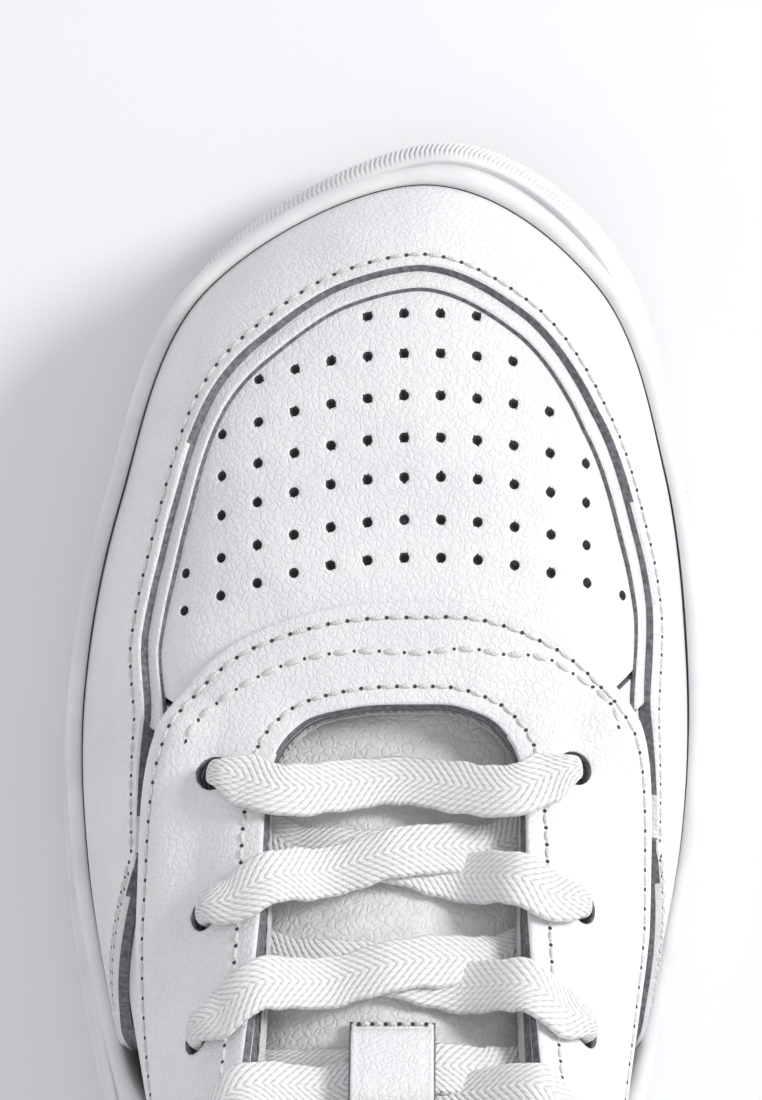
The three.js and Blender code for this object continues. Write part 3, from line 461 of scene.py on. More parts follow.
def patch(name, at, I, J, top, bottom, replaced, raw=(0.9, 0.9, 0.9, 0.9), round_edge=0.5, channel=(), holes=(),
          relief=None):
    """A leather panel of real thickness. at(i, j, h) gives points; raw is each side's cut-edge slope in mm, i low,
    i high, j low, j high, and a slope of 0 leaves that side a rolled edge. channel: grooves that follow the
    edges, as (sides, distance, depth). holes: (point, radius), punched through."""
    i, j = np.meshgrid(I, J, indexing="ij")
    base = at(i, j, 0 * i)
    sides = edge_distances(base)
    h = np.broadcast_to(top(i, j), i.shape).copy()
    low = np.broadcast_to(bottom(i, j), i.shape).copy()
    mark = np.zeros(i.shape, int)
    for d, slope in zip(sides, raw):
        if slope > 0:
            cut = np.clip(1 - d / slope, 0, 1)
            h = np.minimum(h, blend(h, low + 0.12, cut * (h - low > 0)))
            # the sloped cut-edge faces take the raw edge colour, which is partly painted shade
            mark[(d < slope * 0.92)] = 1
        else:
            k = np.clip(1 - d / round_edge, 0, 1)
            h = np.minimum(h, h - (1 - np.sqrt(1 - k**2)) * np.minimum(round_edge, h - low - 0.1))
    for where, distance, depth in channel:
        for n in where:
            h = h - depth * np.exp(-(((sides[n] - distance) / 0.75) ** 2))
    if relief is not None:
        h = h + relief(base, i, j)
    front, back = at(i, j, h), at(i, j, low)
    gone = np.zeros(i.shape, bool)
    for centre, radius in holes:
        d = np.linalg.norm(base - centre, axis=-1)
        gone |= d < radius
        soft = np.exp(-np.maximum(0, d - radius) / 0.6)[..., None] * (d < radius + 3)[..., None]
        front = front - unit(front - back) * soft * 0.22
    count = i.size
    quads = grid_quads(np.arange(count).reshape(i.shape))
    keep = ~(gone.ravel()[quads].all(1))
    # points left inside a hole's rim move out to its circle
    used = np.zeros(count, bool)
    used[quads[keep].ravel()] = True
    move = gone & used.reshape(i.shape)
    for centre, radius in holes:
        away = base - centre
        d = np.linalg.norm(away, axis=-1)
        near = move & (d < radius)
        shift = away[near] * (radius / np.maximum(d[near], 1e-6) - 1)[:, None]
        front[near] += shift
        back[near] += shift
    quads = quads[keep]
    edges = np.concatenate([quads[:, [0, 1]], quads[:, [1, 2]], quads[:, [2, 3]], quads[:, [3, 0]]])
    key = edges.min(1).astype(np.int64) * count * 2 + edges.max(1)
    _, first, times = np.unique(key, return_index=True, return_counts=True)
    border = edges[first[times == 1]]
    wall = np.stack([border[:, 1], border[:, 0], border[:, 0] + count, border[:, 1] + count], -1)
    lower = quads[:, ::-1] + count
    flat_mark = mark.ravel()
    top_mark = (flat_mark[quads].sum(1) >= 3).astype(int)
    # walls round the holes take index 2, the punched edge colour with painted shade
    wall_mark = np.where(gone.ravel()[border].any(1), 2, flat_mark[border].any(1))
    points = np.concatenate([front.reshape(-1, 3), back.reshape(-1, 3)])
    used, inverse = np.unique(np.concatenate([quads.ravel(), lower.ravel(), wall.ravel()]), return_inverse=True)
    faces = [f.reshape(-1, 4) for f in np.split(inverse.ravel(), np.cumsum([quads.size, lower.size]))]
    piece(name, points[used], faces, SKIN, replaced, [top_mark, np.full(len(lower), 1), wall_mark])


# ---------------------------------------------------------------- stitches
def tubes(name, points, mat):
    """Short closed tubes side by side: points is (tubes, rings, points round, 3)."""
    index = np.arange(points[..., 0].size).reshape(points.shape[:-1])
    caps = np.concatenate([index[:, 0, ::-1], index[:, -1]])
    piece(name, points.reshape(-1, 3), [tube_quads(index), caps], [mat])


class Stitching:
    """Collects stitches and the needle holes at their ends into one object each."""
    def __init__(self):
        self.thread, self.dots = [], []

    def row(self, path, normals, pitch=3.2, gap=0.75, radius=0.33, dot=0.34):
        path, normals = np.asarray(path), unit(np.asarray(normals))
        sums = np.concatenate([[0], np.cumsum(np.linalg.norm(np.diff(path, axis=0), axis=-1))])
        count = max(1, int(sums[-1] // pitch))
        starts = (sums[-1] - count * pitch) / 2 + pitch * np.arange(count)

        def look(values, s):
            return np.stack([np.interp(s, sums, values[:, k]) for k in range(3)], -1)
        a, b = look(path, starts + gap / 2), look(path, starts + pitch - gap / 2)
        n = unit(look(normals, starts + pitch / 2))
        self.thread.append((a, b, n, np.full(len(a), radius)))
        ends = np.concatenate([look(path, starts), look(path, [starts[-1] + pitch])])
        nn = unit(np.concatenate([look(normals, starts), look(normals, [starts[-1] + pitch])]))
        self.dots.append((ends, nn, np.full(len(ends), dot)))

    def build(self, name, around=8, length=7):
        a, b, n, r = (np.concatenate([t[k] for t in self.thread]) for k in range(4))
        along = unit(b - a)
        side = unit(np.cross(n, along))
        up = np.cross(along, side)
        k = np.linspace(0, 1, length)
        arch = np.sin(np.pi * k) ** 0.5
        girthed = np.clip(np.sin(np.pi * np.clip(k, 0.04, 0.96)) ** 0.45, 0.3, 1)
        centre = a[:, None] + (b - a)[:, None] * k[None, :, None] \
            + up[:, None] * ((arch - 0.75) * r[:, None])[..., None]
        angle = 2 * np.pi * np.arange(around) / around
        tubes(f"{name}_thread", centre[:, :, None] + (
            side[:, None, None] * np.cos(angle)[None, None, :, None] * 1.15
            + up[:, None, None] * np.sin(angle)[None, None, :, None])
            * (r[:, None] * girthed[None, :])[:, :, None, None], THREAD)
        p, nn, rr = (np.concatenate([d[k] for d in self.dots]) for k in range(3))
        ref = np.where(np.abs(nn[:, :1]) < 0.8, [[1.0, 0, 0]], [[0, 1.0, 0]])
        e1 = unit(np.cross(nn, ref))
        e2 = np.cross(nn, e1)
        rim = p[:, None] + (e1[:, None] * np.cos(angle)[None, :, None] + e2[:, None] * np.sin(angle)[None, :, None]) \
            * rr[:, None, None]
        # the needle holes are shallow cups coloured with the painted hole shade
        tubes(f"{name}_needle_holes", np.stack([
            rim - nn[:, None] * 0.3, rim + nn[:, None] * 0.02, p[:, None] + (rim - p[:, None]) * 0.5
            + nn[:, None] * 0.07], 1), HOLE_SHADE)


# ---------------------------------------------------------------- edge lines shared with the CAD
LEATHER_T, GAP, LAYER_FIT, EYELET_RADIUS, EYELET_SETBACK = 1.4, 0.3, 0.5, 2.9, 10
LINING_INNER = -4.4
MUD_OUTER, TRIM_OUTER, TRIM_REVEAL = 2.8, 1.1, 3.3
PANEL_OUTER, PANEL_INNER, SEAM_DEPTH = 1.7, 0.1, 0.04
mudguard_edge = profile([(8.2, 47), (9.1, 44.5), (9.6, 39.5), (10.4, 37.5), (11.2, 32.5), (11.6, 30.3),
                         (12, 30.3), (12.6, 32.5), (13.2, 37), (14.4, 36), (15, 40.5), (15.9, 40)])
facing_station = profile([(5, 3.95), (5.4, 4.0), (5.8, 4.35), (6.4, 5.1), (7, 6), (8, 7.6), (9, 9), (12, 12),
                          (15, 15), (16, 16.4), (17, 18), (17.6, 18.9), (18.2, 19.65), (18.6, 20), (19, 20.05)])
facing_drop = profile([(5, 0.2), (5.4, 18), (5.8, 35), (6.4, 56), (7, 48), (8, 30), (9, 22), (10.5, 18.5),
                       (12, 18), (13.5, 19), (14.8, 23), (16, 33), (17, 50), (17.6, 57), (18.2, 36), (18.6, 19),
                       (19, 0.2)])


def top_height(u):
    return ring(TOPLINE, u)[..., 2]


def facing_at(throat, f):
    end = facing_station(throat)
    u = blend(throat, end, f)
    sag = top_height(u) - blend(top_height(throat), top_height(end), f)
    return u, drop(u, facing_drop(throat) * f + sag)


def facing_width(throat):
    return np.linalg.norm(surface(*facing_at(throat, 1)) - surface(throat, 1), axis=-1)


def lay(throat, mm, h):
    return raised(*facing_at(throat, mm / facing_width(throat)), h)


def lay_normal(throat, mm):
    return surface_normal(*facing_at(throat, mm / facing_width(throat)))


def on_side(u, side):
    return u if side < 0 else STATIONS - u


EYELET_ROWS = 7
_k = np.linspace(8.9, 5.42, 201)
_s = np.concatenate([[0], np.cumsum(np.linalg.norm(np.diff(ring(TOPLINE, _k), axis=0), axis=-1))])
ROW_STATIONS = np.interp(_s[-1] * np.arange(EYELET_ROWS) / (EYELET_ROWS - 1), _s, _k)
EYELETS = [lay(on_side(u, side), EYELET_SETBACK, 0) for u in ROW_STATIONS for side in (-1, 1)]


def facing_ride(throat, f):
    outer = smooth(throat, 7.3, 8.1) * (1 - smooth(throat, 9.1, 9.7))
    inner = smooth(throat, 14.3, 14.9) * (1 - smooth(throat, 15.9, 16.7))
    bend = smooth(np.abs(throat - 12), 4.2, 4.8)
    return LAYER_FIT + 0.4 * bend + (MUD_OUTER - GAP + LAYER_FIT) * (outer + inner) * smooth(f, 0.45, 0.85)


def constant(value):
    return lambda x, *more: value + 0 * np.asarray(x, float)


def u_panel(start, end, low, high):
    def at(i, j, h):
        across = blend(start(1.0), end(1.0), i)
        u = blend(start(j), end(j), i)
        mm = blend(low(across), high(across), j)
        return raised(u, rise(u, mm * full_rise(u) / full_rise(across)), h)
    return at


SKIN = [LEATHER, RAW_EDGE_AND_SHADE, PUNCHED_EDGE_AND_SHADE]

# ---------------------------------------------------------------- vamp with its punched rows
VAMP_FROM, VAMP_TO = 9.28, 14.72
PERF_CENTRE, PERF_PITCH, PERF_RADIUS = 5.8, 6.2, 0.88
PERF_ROWS = (119.4, 112.5, 105.2, 98.1, 91.4, 84.2, 77.8)


def vamp_at(i, j, h):
    u = blend(VAMP_FROM, VAMP_TO, i)
    return raised(u, rise(u, full_rise(u) * j), h)


def punched_rows(base):
    """Centres of the vent holes: rows on a shallow arc, kept inside the trim's edge and ahead of the facing."""
    centres = []
    for y0 in PERF_ROWS:
        for n in range(-9, 9):
            x = PERF_CENTRE + (n + 0.5) * PERF_PITCH
            y = y0 - 0.0056 * (x - PERF_CENTRE) ** 2
            d = np.hypot(base[..., 0] - x, base[..., 1] - y)
            k = np.unravel_index(np.argmin(d), d.shape)
            if d[k] > 1.5:
                continue
            u = blend(VAMP_FROM, VAMP_TO, VAMP_I[k[0]])
            up = VAMP_J[k[1]] * full_rise(u)
            throat_gap = (1 - VAMP_J[k[1]]) * full_rise(u) - facing_drop(u)
            if up > mudguard_edge(u) + TRIM_REVEAL + 0.9 and throat_gap > 1.9:
                centres.append(np.array([x, y, base[k][2]]))
    return centres


VAMP_I = np.linspace(0, 1, 560)
VAMP_J = np.concatenate([np.linspace(0, 0.27, 10), np.linspace(0.275, 1, 165)])


def vamp():
    i, j = np.meshgrid(VAMP_I, VAMP_J, indexing="ij")
    base = vamp_at(i, j, 0 * i)
    normal = unit(vamp_at(i, j, 0 * i + 1) - base)
    h, mark, shift = 0 * i, np.zeros(i.shape, int), np.zeros(base.shape)
    for centre in punched_rows(base):
        away = base - centre
        away = away - normal * (away * normal).sum(-1, keepdims=True)
        d = np.hypot(np.linalg.norm(away, axis=-1), 0 * h) + 99 * (np.abs(base - centre).max(-1) > 4)
        inside = d < PERF_RADIUS - 0.2
        rim = (d < PERF_RADIUS + 0.22) & ~inside
        shift[rim] = away[rim] * (PERF_RADIUS / np.maximum(d[rim], 1e-6) - 1)[:, None]
        # the vent holes are blind pits; their floors get the painted hole shade in place of the light lining seen
        # through the real holes
        h[inside] = -1.2
        h = h - 0.16 * np.exp(-np.maximum(0, d - PERF_RADIUS) / 0.5) * (~inside) * (d < 4)
        mark[inside] = 1
    h = h + 0.22 * np.sin(base[..., 0] * 0.16 + 1.3) * np.sin(base[..., 1] * 0.13) * smooth(j, 0.4, 0.6)
    front, back = base + normal * h[..., None] + shift, base - normal * LEATHER_T
    count = i.size
    index = np.arange(count).reshape(i.shape)
    quads = grid_quads(index)
    # index 2: the painted hole shade on the pit floors
    top_mark = np.where(mark.ravel()[quads].any(1), 2, 0)
    edge = np.concatenate([index[0, ::-1], index[1:, 0], index[-1, 1:], index[-2:0:-1, -1]])
    nxt = np.roll(edge, -1)
    wall = np.stack([nxt, edge, edge + count, nxt + count], -1)
    piece("vamp_leather", np.concatenate([front.reshape(-1, 3), back.reshape(-1, 3)]),
          [quads, quads[:, ::-1] + count, wall], [LEATHER, RAW_EDGE_AND_SHADE, HOLE_SHADE], ["vamp"],
          [top_mark, np.full(len(quads), 1), np.full(len(wall), 1)])


vamp()

TRIM_FROM, TRIM_TO = 9.0, 15.0
trim_at = u_panel(constant(TRIM_FROM), constant(TRIM_TO), lambda u: mudguard_edge(u) - 8,
                  lambda u: mudguard_edge(u) + TRIM_REVEAL)
patch("toe_trim_band", trim_at, edge_lines(270, 0.9), edge_lines(11.3, 0.55), constant(TRIM_OUTER), constant(0.06),
      ["toe_trim"], raw=(0.7, 0.7, 0, 0.5))


MUD_FROM, MUD_TO, MUD_CURVE = 6.6, 17.5, 1.7


def mud_start(j):
    return MUD_FROM + 1.6 * np.asarray(j, float) ** MUD_CURVE


def mud_end(j):
    return MUD_TO - 1.65 * np.asarray(j, float) ** MUD_CURVE


mudguard_at = u_panel(mud_start, mud_end, constant(0.5), mudguard_edge)


def mudguard_bottom(i, j):
    u = blend(mud_start(1.0), mud_end(1.0), i)
    over_trim = smooth(u, 8.9, 9.3) * (1 - smooth(u, 14.7, 15.1)) * smooth(j, 0.6, 0.75)
    return 0.12 + 1.05 * over_trim


def mudguard_top(i, j):
    """The leather swells against the lip of the cup below it."""
    return MUD_OUTER + 0.62 * (1 - smooth(j, 0.3, 0.5))


patch("mudguard_leather", mudguard_at, edge_lines(340, 0.85), edge_lines(40, 0.8), mudguard_top, mudguard_bottom,
      ["mudguard"], raw=(0.65, 0.65, 0, 0.55),
      channel=[((0, 1), 2.5, 0.16), ((0, 1), 5.3, 0.14), ((3,), 2.4, 0.18)])

# ---------------------------------------------------------------- quarters, facing, collar and heel panels
for side, name, start, end in ((-1, "lateral", 0.03, 9.25), (1, "medial", 14.75, 23.97)):
    patch(f"quarter_{name}_leather", u_panel(constant(start), constant(end), constant(0), full_rise),
          edge_lines(215, 1.15), edge_lines(112, 1.15), constant(0), constant(-LEATHER_T), [f"quarter_{name}"],
          raw=(0.6, 0.6, 0, 0.6), holes=[(c, EYELET_RADIUS + 0.5) for c in EYELETS if (c[0] - CENTRE_X) * side > 0],
          relief=lambda base, i, j: 0.3 * np.sin(base[..., 1] * 0.11 + base[..., 2] * 0.07)
          * np.sin(base[..., 2] * 0.12 + 0.6))


FACING_FROM, FACING_TO = 5.02, 18.98


def facing_patch_at(i, j, h):
    return raised(*facing_at(blend(FACING_FROM, FACING_TO, i), 1 - j), h)


def facing_face(height):
    return lambda i, j: facing_ride(blend(FACING_FROM, FACING_TO, i), 1 - j) + height


patch("eyestay_leather", facing_patch_at, np.linspace(0, 1, 620), edge_lines(28, 0.62), facing_face(LEATHER_T),
      facing_face(-0.36), ["eyestay"], raw=(0.8, 0.8, 0, 0.45), round_edge=0.9,
      channel=[((2,), 2.8, 0.2), ((3,), 3.4, 0.16)], holes=[(c, EYELET_RADIUS) for c in EYELETS])

COLLAR_DROP, HEEL_SPAN, HEEL_LENGTH, MUD_SEAM_LENGTH = 32, 3.2, 150, 335
for side, name in ((-1, "lateral"), (1, "medial")):
    def collar_at(i, j, h, side=side):
        s = on_side(blend(0.46, 3.88, i), side)
        return raised(s, drop(s, COLLAR_DROP * (1 - j)), h)
    patch(f"collar_panel_{name}_leather", collar_at, edge_lines(92, 0.9), edge_lines(COLLAR_DROP, 0.8),
          constant(PANEL_OUTER), constant(PANEL_INNER), [f"collar_panel_{name}"], raw=(0.8, 0.8, 0.9, 0),
          round_edge=0.8,
          channel=[((2,), 2.4, 0.18), ((2,), 5.0, 0.15), ((0, 1), 2.2, 0.14)])

heel_rise = profile([(0, 58), (1.2, 54), (2.6, 36), (3.2, 30)])


def heel_at(i, j, h):
    u = blend(-HEEL_SPAN, HEEL_SPAN, i)
    return raised(u, rise(u, 0.5 + heel_rise(np.abs(u)) * j), h)


patch("heel_overlay_leather", heel_at, edge_lines(HEEL_LENGTH, 0.95), edge_lines(48, 0.9), constant(PANEL_OUTER),
      constant(PANEL_INNER), ["heel_overlay"], raw=(0.9, 0.9, 0, 0.9),
      channel=[((0, 1, 3), 2.4, 0.18), ((0, 1, 3), 5.0, 0.15)])


def backstay_at(i, j, h):
    u = blend(-0.42, 0.42, i)
    return raised(u, rise(u, blend(60, full_rise(u), j)), h)


patch("backstay_leather", backstay_at, edge_lines(16, 0.6), edge_lines(75, 0.8), constant(PANEL_OUTER),
      constant(PANEL_INNER), ["backstay"], raw=(0.8, 0.8, 0.8, 0), channel=[((0, 1), 2.0, 0.18)])

# ---------------------------------------------------------------- collar pad and tongue
PAD_FROM, COLLAR_PAD = 56, 5


def pad_bulge(u, t):
    mm, full = t * full_rise(u), full_rise(u)
    v = np.clip((mm - PAD_FROM) / (full - PAD_FROM), 0, 1)
    return COLLAR_PAD * np.sin(np.pi * np.minimum(1, v * 0.93)) ** 0.7 * (1 - smooth(np.abs(u), 3.0, 4.15))


def loft(name, rows, materials, replaced, marks, body="upper"):
    """A closed body through rings of points: rows is (rings, an even number of points round, 3)."""
    n, around = rows.shape[:2]
    index = np.arange(n * around).reshape(n, around)
    points, quads = rows.reshape(-1, 3), tube_quads(index)
    a, b, c = (points[quads[:, k]] for k in (0, 1, 2))
    if (np.cross(b - a, c - a) * (a - points.mean(0))).sum() < 0:
        quads = quads[:, ::-1]
    k = np.arange(around // 2 - 1)
    caps = [np.stack([end[k], end[k + 1], end[-2 - k], end[-1 - k]], -1) for end in (index[0], index[-1])]
    return piece(name, points, [quads, *(cap[:, ::-1] for cap in caps)], materials, replaced,
                 [np.tile(marks, n - 1), *(np.zeros(len(k), int) for _ in caps)], body)


def collar_pad():
    u = np.linspace(-4.18, 4.18, 260)[:, None]
    up = np.linspace(0, 1, 70) ** 0.85
    end = smooth(np.abs(u), 4.0, 4.18)
    inner_t = rise(u, full_rise(u) * up[None, :])
    inner = raised(u, inner_t, LINING_INNER - pad_bulge(u, inner_t))
    # rolled over the rim: half a turn from the lining to the back of the collar panel
    turn = np.linspace(0.06, 1, 14)[None, :] * np.pi
    rim, normal = surface(u, 1.0), surface_normal(u, 1.0)
    across = (-0.25 + LINING_INNER) / 2
    reach = (-0.25 - LINING_INNER) / 2
    height = np.array([0, 0, 1.0])
    roll = rim + normal * across + normal * (-reach * np.cos(turn))[..., None] \
        + height * (np.sin(turn) * blend(2.6, 0.6, end))[..., None]
    outer_t = rise(u, full_rise(u) * np.linspace(0.985, 0.02, 30)[None, :])
    outer = raised(u, outer_t, -LEATHER_T - 0.25)
    rows = np.concatenate([inner, roll, outer], 1)
    creases = 0.25 * np.sin(u * 9.0) * np.sin(np.linspace(0, 9, rows.shape[1]))[None, :]
    rows = rows + surface_normal(u, 0.8) * (creases * (np.arange(rows.shape[1]) < 70)[None, :])[..., None]
    pad = loft("collar_pad", rows, [KNIT], ["collar_lining", "collar_foam"], np.zeros(rows.shape[1], int))


collar_pad()

TONGUE_TOP = LINING_INNER - LACE_THICKNESS - 2 * LAYER_FIT - 1
ROWS_FROM, ROW_STEP, ROW_COUNT, CROWN = 9.5, 0.5, 10, 3.5


def tongue_rows():
    rows = [np.stack([raised(u, drop(u, 7), TONGUE_TOP) for u in (10.3, 11.1, 12, 12.9, 13.7)])]
    for k in range(ROW_COUNT):
        u = ROWS_FROM - ROW_STEP * k
        l1, l0, r1, r0 = (lay(on_side(u, side), mm, TONGUE_TOP) for side in (-1, 1) for mm in (9, 0))
        up = surface_normal(u, 1.0) + surface_normal(STATIONS - u, 1.0)
        up[0] = 0
        mid = (l0 + r0) / 2 + unit(up) * CROWN * (0.3 + 0.7 * smooth(-u, -9.3, -8.3))
        rows.append(np.stack([l1, blend(l0, (l1 + mid) / 2, 0.25), mid, blend(r0, (r1 + mid) / 2, 0.25), r1]))
    rows.append(rows[-1] + (rows[-1] - rows[-2]) * 0.55)
    rows.append(rows[-2] + (rows[-2] - rows[-3]) * 1.1)
    return np.stack(rows)


TONGUE_ROWS = tongue_rows()
LAST_ROW = len(TONGUE_ROWS) - 1
RIBS = TONGUE_ROWS.transpose(1, 0, 2)


def tongue_surface(row, a):
    row, a = np.broadcast_arrays(np.asarray(row, float), np.asarray(a, float))
    points = centripetal(RIBS, np.clip(row / LAST_ROW, 0, 1)[..., None])
    return centripetal(points, (a + 1) / 2)


def tongue_normal(row, a):
    along = tongue_surface(np.minimum(LAST_ROW, row + 0.05), a) - tongue_surface(np.maximum(0, row - 0.05), a)
    across = tongue_surface(row, np.minimum(1, a + 0.02)) - tongue_surface(row, np.maximum(-1, a - 0.02))
    return -unit(np.cross(across, along))


def on_tongue(row, a, h):
    row, a, h = np.broadcast_arrays(*(np.asarray(v, float) for v in (row, a, h)))
    return tongue_surface(row, a) + tongue_normal(row, a) * h[..., None]


SEAM_ROW, TIP_ROW, TONGUE_THICKNESS = 10.15, 11.6, 8.7


def tongue():
    row = np.concatenate([np.linspace(0.1, TIP_ROW, 300), TIP_ROW + 0.4 * np.sin(np.linspace(0.08, 1, 14) * np.pi / 2)])
    a = np.sin(np.linspace(-1, 1, 61) * np.pi / 2 * 0.98)
    wing = 1 - 0.72 * smooth(np.abs(a), 0.2, 0.62)
    thick = TONGUE_THICKNESS * wing
    close = np.sqrt(np.clip(1 - ((row - TIP_ROW) / 0.401) ** 2 * (row > TIP_ROW), 0, 1))[:, None]
    edge = np.sqrt(np.clip(1 - np.clip((np.abs(a) - 0.9) / 0.101, 0, 1) ** 2, 0, 1))[None, :]
    corner = 1 - 0.12 * smooth(row, 10.9, 12)[:, None] * np.abs(a)[None, :] ** 3
    middle = -thick[None, :] / 2
    x, y = a[None, :] * corner, row[:, None]
    crease = (0.35 * np.sin(y * 7.3 + 1.5 * np.sin(x * 3)) + 0.18 * np.sin(y * 17 + x * 4)) * np.exp(-x**2 * 3)
    seam = -0.7 * np.exp(-(((y - SEAM_ROW) / 0.05) ** 2))
    half = thick[None, :] / 2 * close * edge
    outer = on_tongue(y, x, middle + half + crease * close * 0.6 + seam * close)
    inner = on_tongue(y, x, middle - half)
    rows = np.concatenate([outer, inner[:, ::-1]], 1)
    n = len(a)
    marks = np.concatenate([np.zeros(n, int), np.ones(n, int)])
    marks[:2], marks[n - 3:n] = 0, 0
    pad = loft("tongue_pad", rows, [GRAIN, KNIT],
               ["tongue_leather", "tongue_foam", "tongue_lining", "tongue_top_leather", "tongue_top_foam",
                "tongue_top_lining"], marks, body=None)
    lower, higher = (tongue_surface(SEAM_ROW + k, 0.0) * MM for k in (-0.35, 0.35))
    tuple(lower)
    tuple(higher)
    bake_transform(pad)


tongue()


# ---------------------------------------------------------------- lace
def row_of(u):
    return 1 + (ROWS_FROM - u) / ROW_STEP


def pitch_point(k):
    return float(np.interp(k, np.arange(EYELET_ROWS), ROW_STATIONS)) if k < EYELET_ROWS - 1 else float(
        ROW_STATIONS[-1] + (ROW_STATIONS[-1] - ROW_STATIONS[-2]) * (k - EYELET_ROWS + 1))


FACING_TOP = LAYER_FIT + 0.4 + LEATHER_T
LOWER_STRAND, UPPER_STRAND, KNOT_ROW = 2.4, 4.1, 9.6


def station_key(side, u, mm, h, w=1.0):
    d = lay(on_side(u - 0.05, side), mm, h) - lay(on_side(u + 0.05, side), mm, h)
    return lay(on_side(u, side), mm, h), unit(d), w


def facing_key(k, side, mm, h, w=1.0):
    return station_key(side, pitch_point(k), mm, h, w)


def edge_key(k, side, reach, h, w=1.0):
    edge, d, _ = facing_key(k, side, 0, h, w)
    inner = facing_key(k, side, 4, h, w)[0]
    return edge + unit(edge - inner) * reach, d, w


def tongue_key(row, a, h, w=1.0):
    d = tongue_surface(row + 0.3, a) - tongue_surface(row - 0.3, a)
    return on_tongue(row, a, h), unit(d), w


def pitch_tongue(k, a, h, w=1.0):
    return tongue_key(row_of(pitch_point(k)), a, h, w)


def into_eyelet(row, side):
    return [facing_key(row, side, 3.5, FACING_TOP + 1.5), facing_key(row, side, 8, FACING_TOP + 1.45, 0.5),
            facing_key(row, side, EYELET_SETBACK, 0.6, 0.38),
            facing_key(row, side, EYELET_SETBACK - 0.3, LINING_INNER - 1.6, 0.34)]


def crossing(row, side, height):
    lift = height - LOWER_STRAND
    return [facing_key(row + 0.18, side, 5, LINING_INNER - 2.05, 0.6),
            pitch_tongue(row + 0.42, side * 0.44, 1.6 + 0.5 * lift, 0.97),
            pitch_tongue(row + 0.5, side * 0.22, 2 + lift), pitch_tongue(row + 0.6, 0, height + 0.3 * lift),
            pitch_tongue(row + 0.71, -side * 0.26, height + 0.2),
            edge_key(row + 0.88, -side, 1.6, FACING_TOP + 1.2)]


TOP_ROW = EYELET_ROWS - 1


def strand_keys(side):
    keys = [tongue_key(row_of(pitch_point(0)) - 0.4, 0, UPPER_STRAND - 0.2), edge_key(0, side, 2.5, FACING_TOP + 1.1),
            *into_eyelet(0, side)]
    for row in range(TOP_ROW):
        keys += crossing(row, side, UPPER_STRAND if side > 0 else LOWER_STRAND)
        side = -side
        keys += into_eyelet(row + 1, side)
    return keys + [facing_key(TOP_ROW, side, 5, LINING_INNER - 2.05, 0.6),
                   tongue_key(KNOT_ROW - 0.3, side * 0.4, 1.8, 0.9), tongue_key(KNOT_ROW, side * 0.1, 3.5, 0.7)]


def bow_keys(side):
    route = [(5.28, 1, 8), (5.35, 13, 6.5), (5.45, 25, 5.5), (5.55, 33, 9), (5.5, 26, 13), (5.4, 14, 14.5),
             (5.28, 2, 12.5)]
    return [tongue_key(KNOT_ROW, side * 0.12, 5, 0.6), *(station_key(side, *p) for p in route),
            tongue_key(KNOT_ROW, side * 0.12, 7, 0.6)]


STRIP_ROUND, STRIP_STEP = 16, 0.55
LACE_SHOWN_WIDTH, LACE_SHOWN_THICKNESS = 9.2, 1.9


def strip(name, points, sides, widths, thickness, replaced=(), wobble=0.0, width=LACE_WIDTH):
    """A flat woven strip through the points: each has a width direction and a share of the full width."""
    points, sides, widths = np.array(points, float), unit(np.array(sides, float)), np.array(widths, float)
    rough = centripetal(points, np.linspace(0, 1, 60 * len(points)))
    sums = np.concatenate([[0], np.cumsum(np.linalg.norm(np.diff(rough, axis=0), axis=-1))])
    count = max(8, int(sums[-1] / STRIP_STEP))
    k = np.interp(np.linspace(0, sums[-1], count + 1), sums, np.linspace(0, 1, len(rough)))
    centre = centripetal(points, k)
    along = unit(np.gradient(centre, axis=0))
    place = k * (len(points) - 1)
    i = np.minimum(place.astype(int), len(points) - 2)
    w = (place - i)[:, None]
    side = sides[i] * (1 - w) + sides[i + 1] * w
    side = unit(side - along * (side * along).sum(-1, keepdims=True))
    up = np.cross(side, along)
    share = widths[i] * (1 - w[:, 0]) + widths[i + 1] * w[:, 0]
    run = np.linspace(0, sums[-1], count + 1)
    half_w = width / 2 * share * (1 + wobble * np.sin(run * 0.9) * np.sin(run * 0.23 + 1))
    half_t = thickness / 2 * (1 + 1.1 * np.clip(1 - share, 0, 1))
    angle = 2 * np.pi * (np.arange(STRIP_ROUND) + 0.5) / STRIP_ROUND
    cx = np.sign(np.cos(angle)) * np.abs(np.cos(angle)) ** 0.75
    cy = np.sign(np.sin(angle)) * np.abs(np.sin(angle)) ** 0.6
    rings = centre[:, None] + side[:, None] * (half_w[:, None] * cx)[..., None] \
        + up[:, None] * (half_t[:, None] * cy)[..., None]
    uv = np.stack([np.repeat((cx / 2 + 0.5)[None, :], count + 1, 0),
                   np.repeat(run[:, None], STRIP_ROUND, 1)], -1).reshape(-1, 2)
    index = np.arange((count + 1) * STRIP_ROUND).reshape(count + 1, STRIP_ROUND)
    caps = [index[0][None, :], index[-1][None, ::-1]]
    return piece(name, rings.reshape(-1, 3), [tube_quads(index)[:, ::-1], *caps], [COTTON], replaced, uv=uv), centre, sums[-1]


def keyed_strip(name, keys, wobble, replaced=()):
    strip(name, *zip(*keys), LACE_SHOWN_THICKNESS, replaced, wobble, LACE_SHOWN_WIDTH)


keyed_strip("lace_laced_run", strand_keys(-1)[::-1] + strand_keys(1)[1:], 0.05, ["lace"])
for side, name in ((-1, "lateral"), (1, "medial")):
    keyed_strip(f"lace_bow_{name}", bow_keys(side), 0.04)


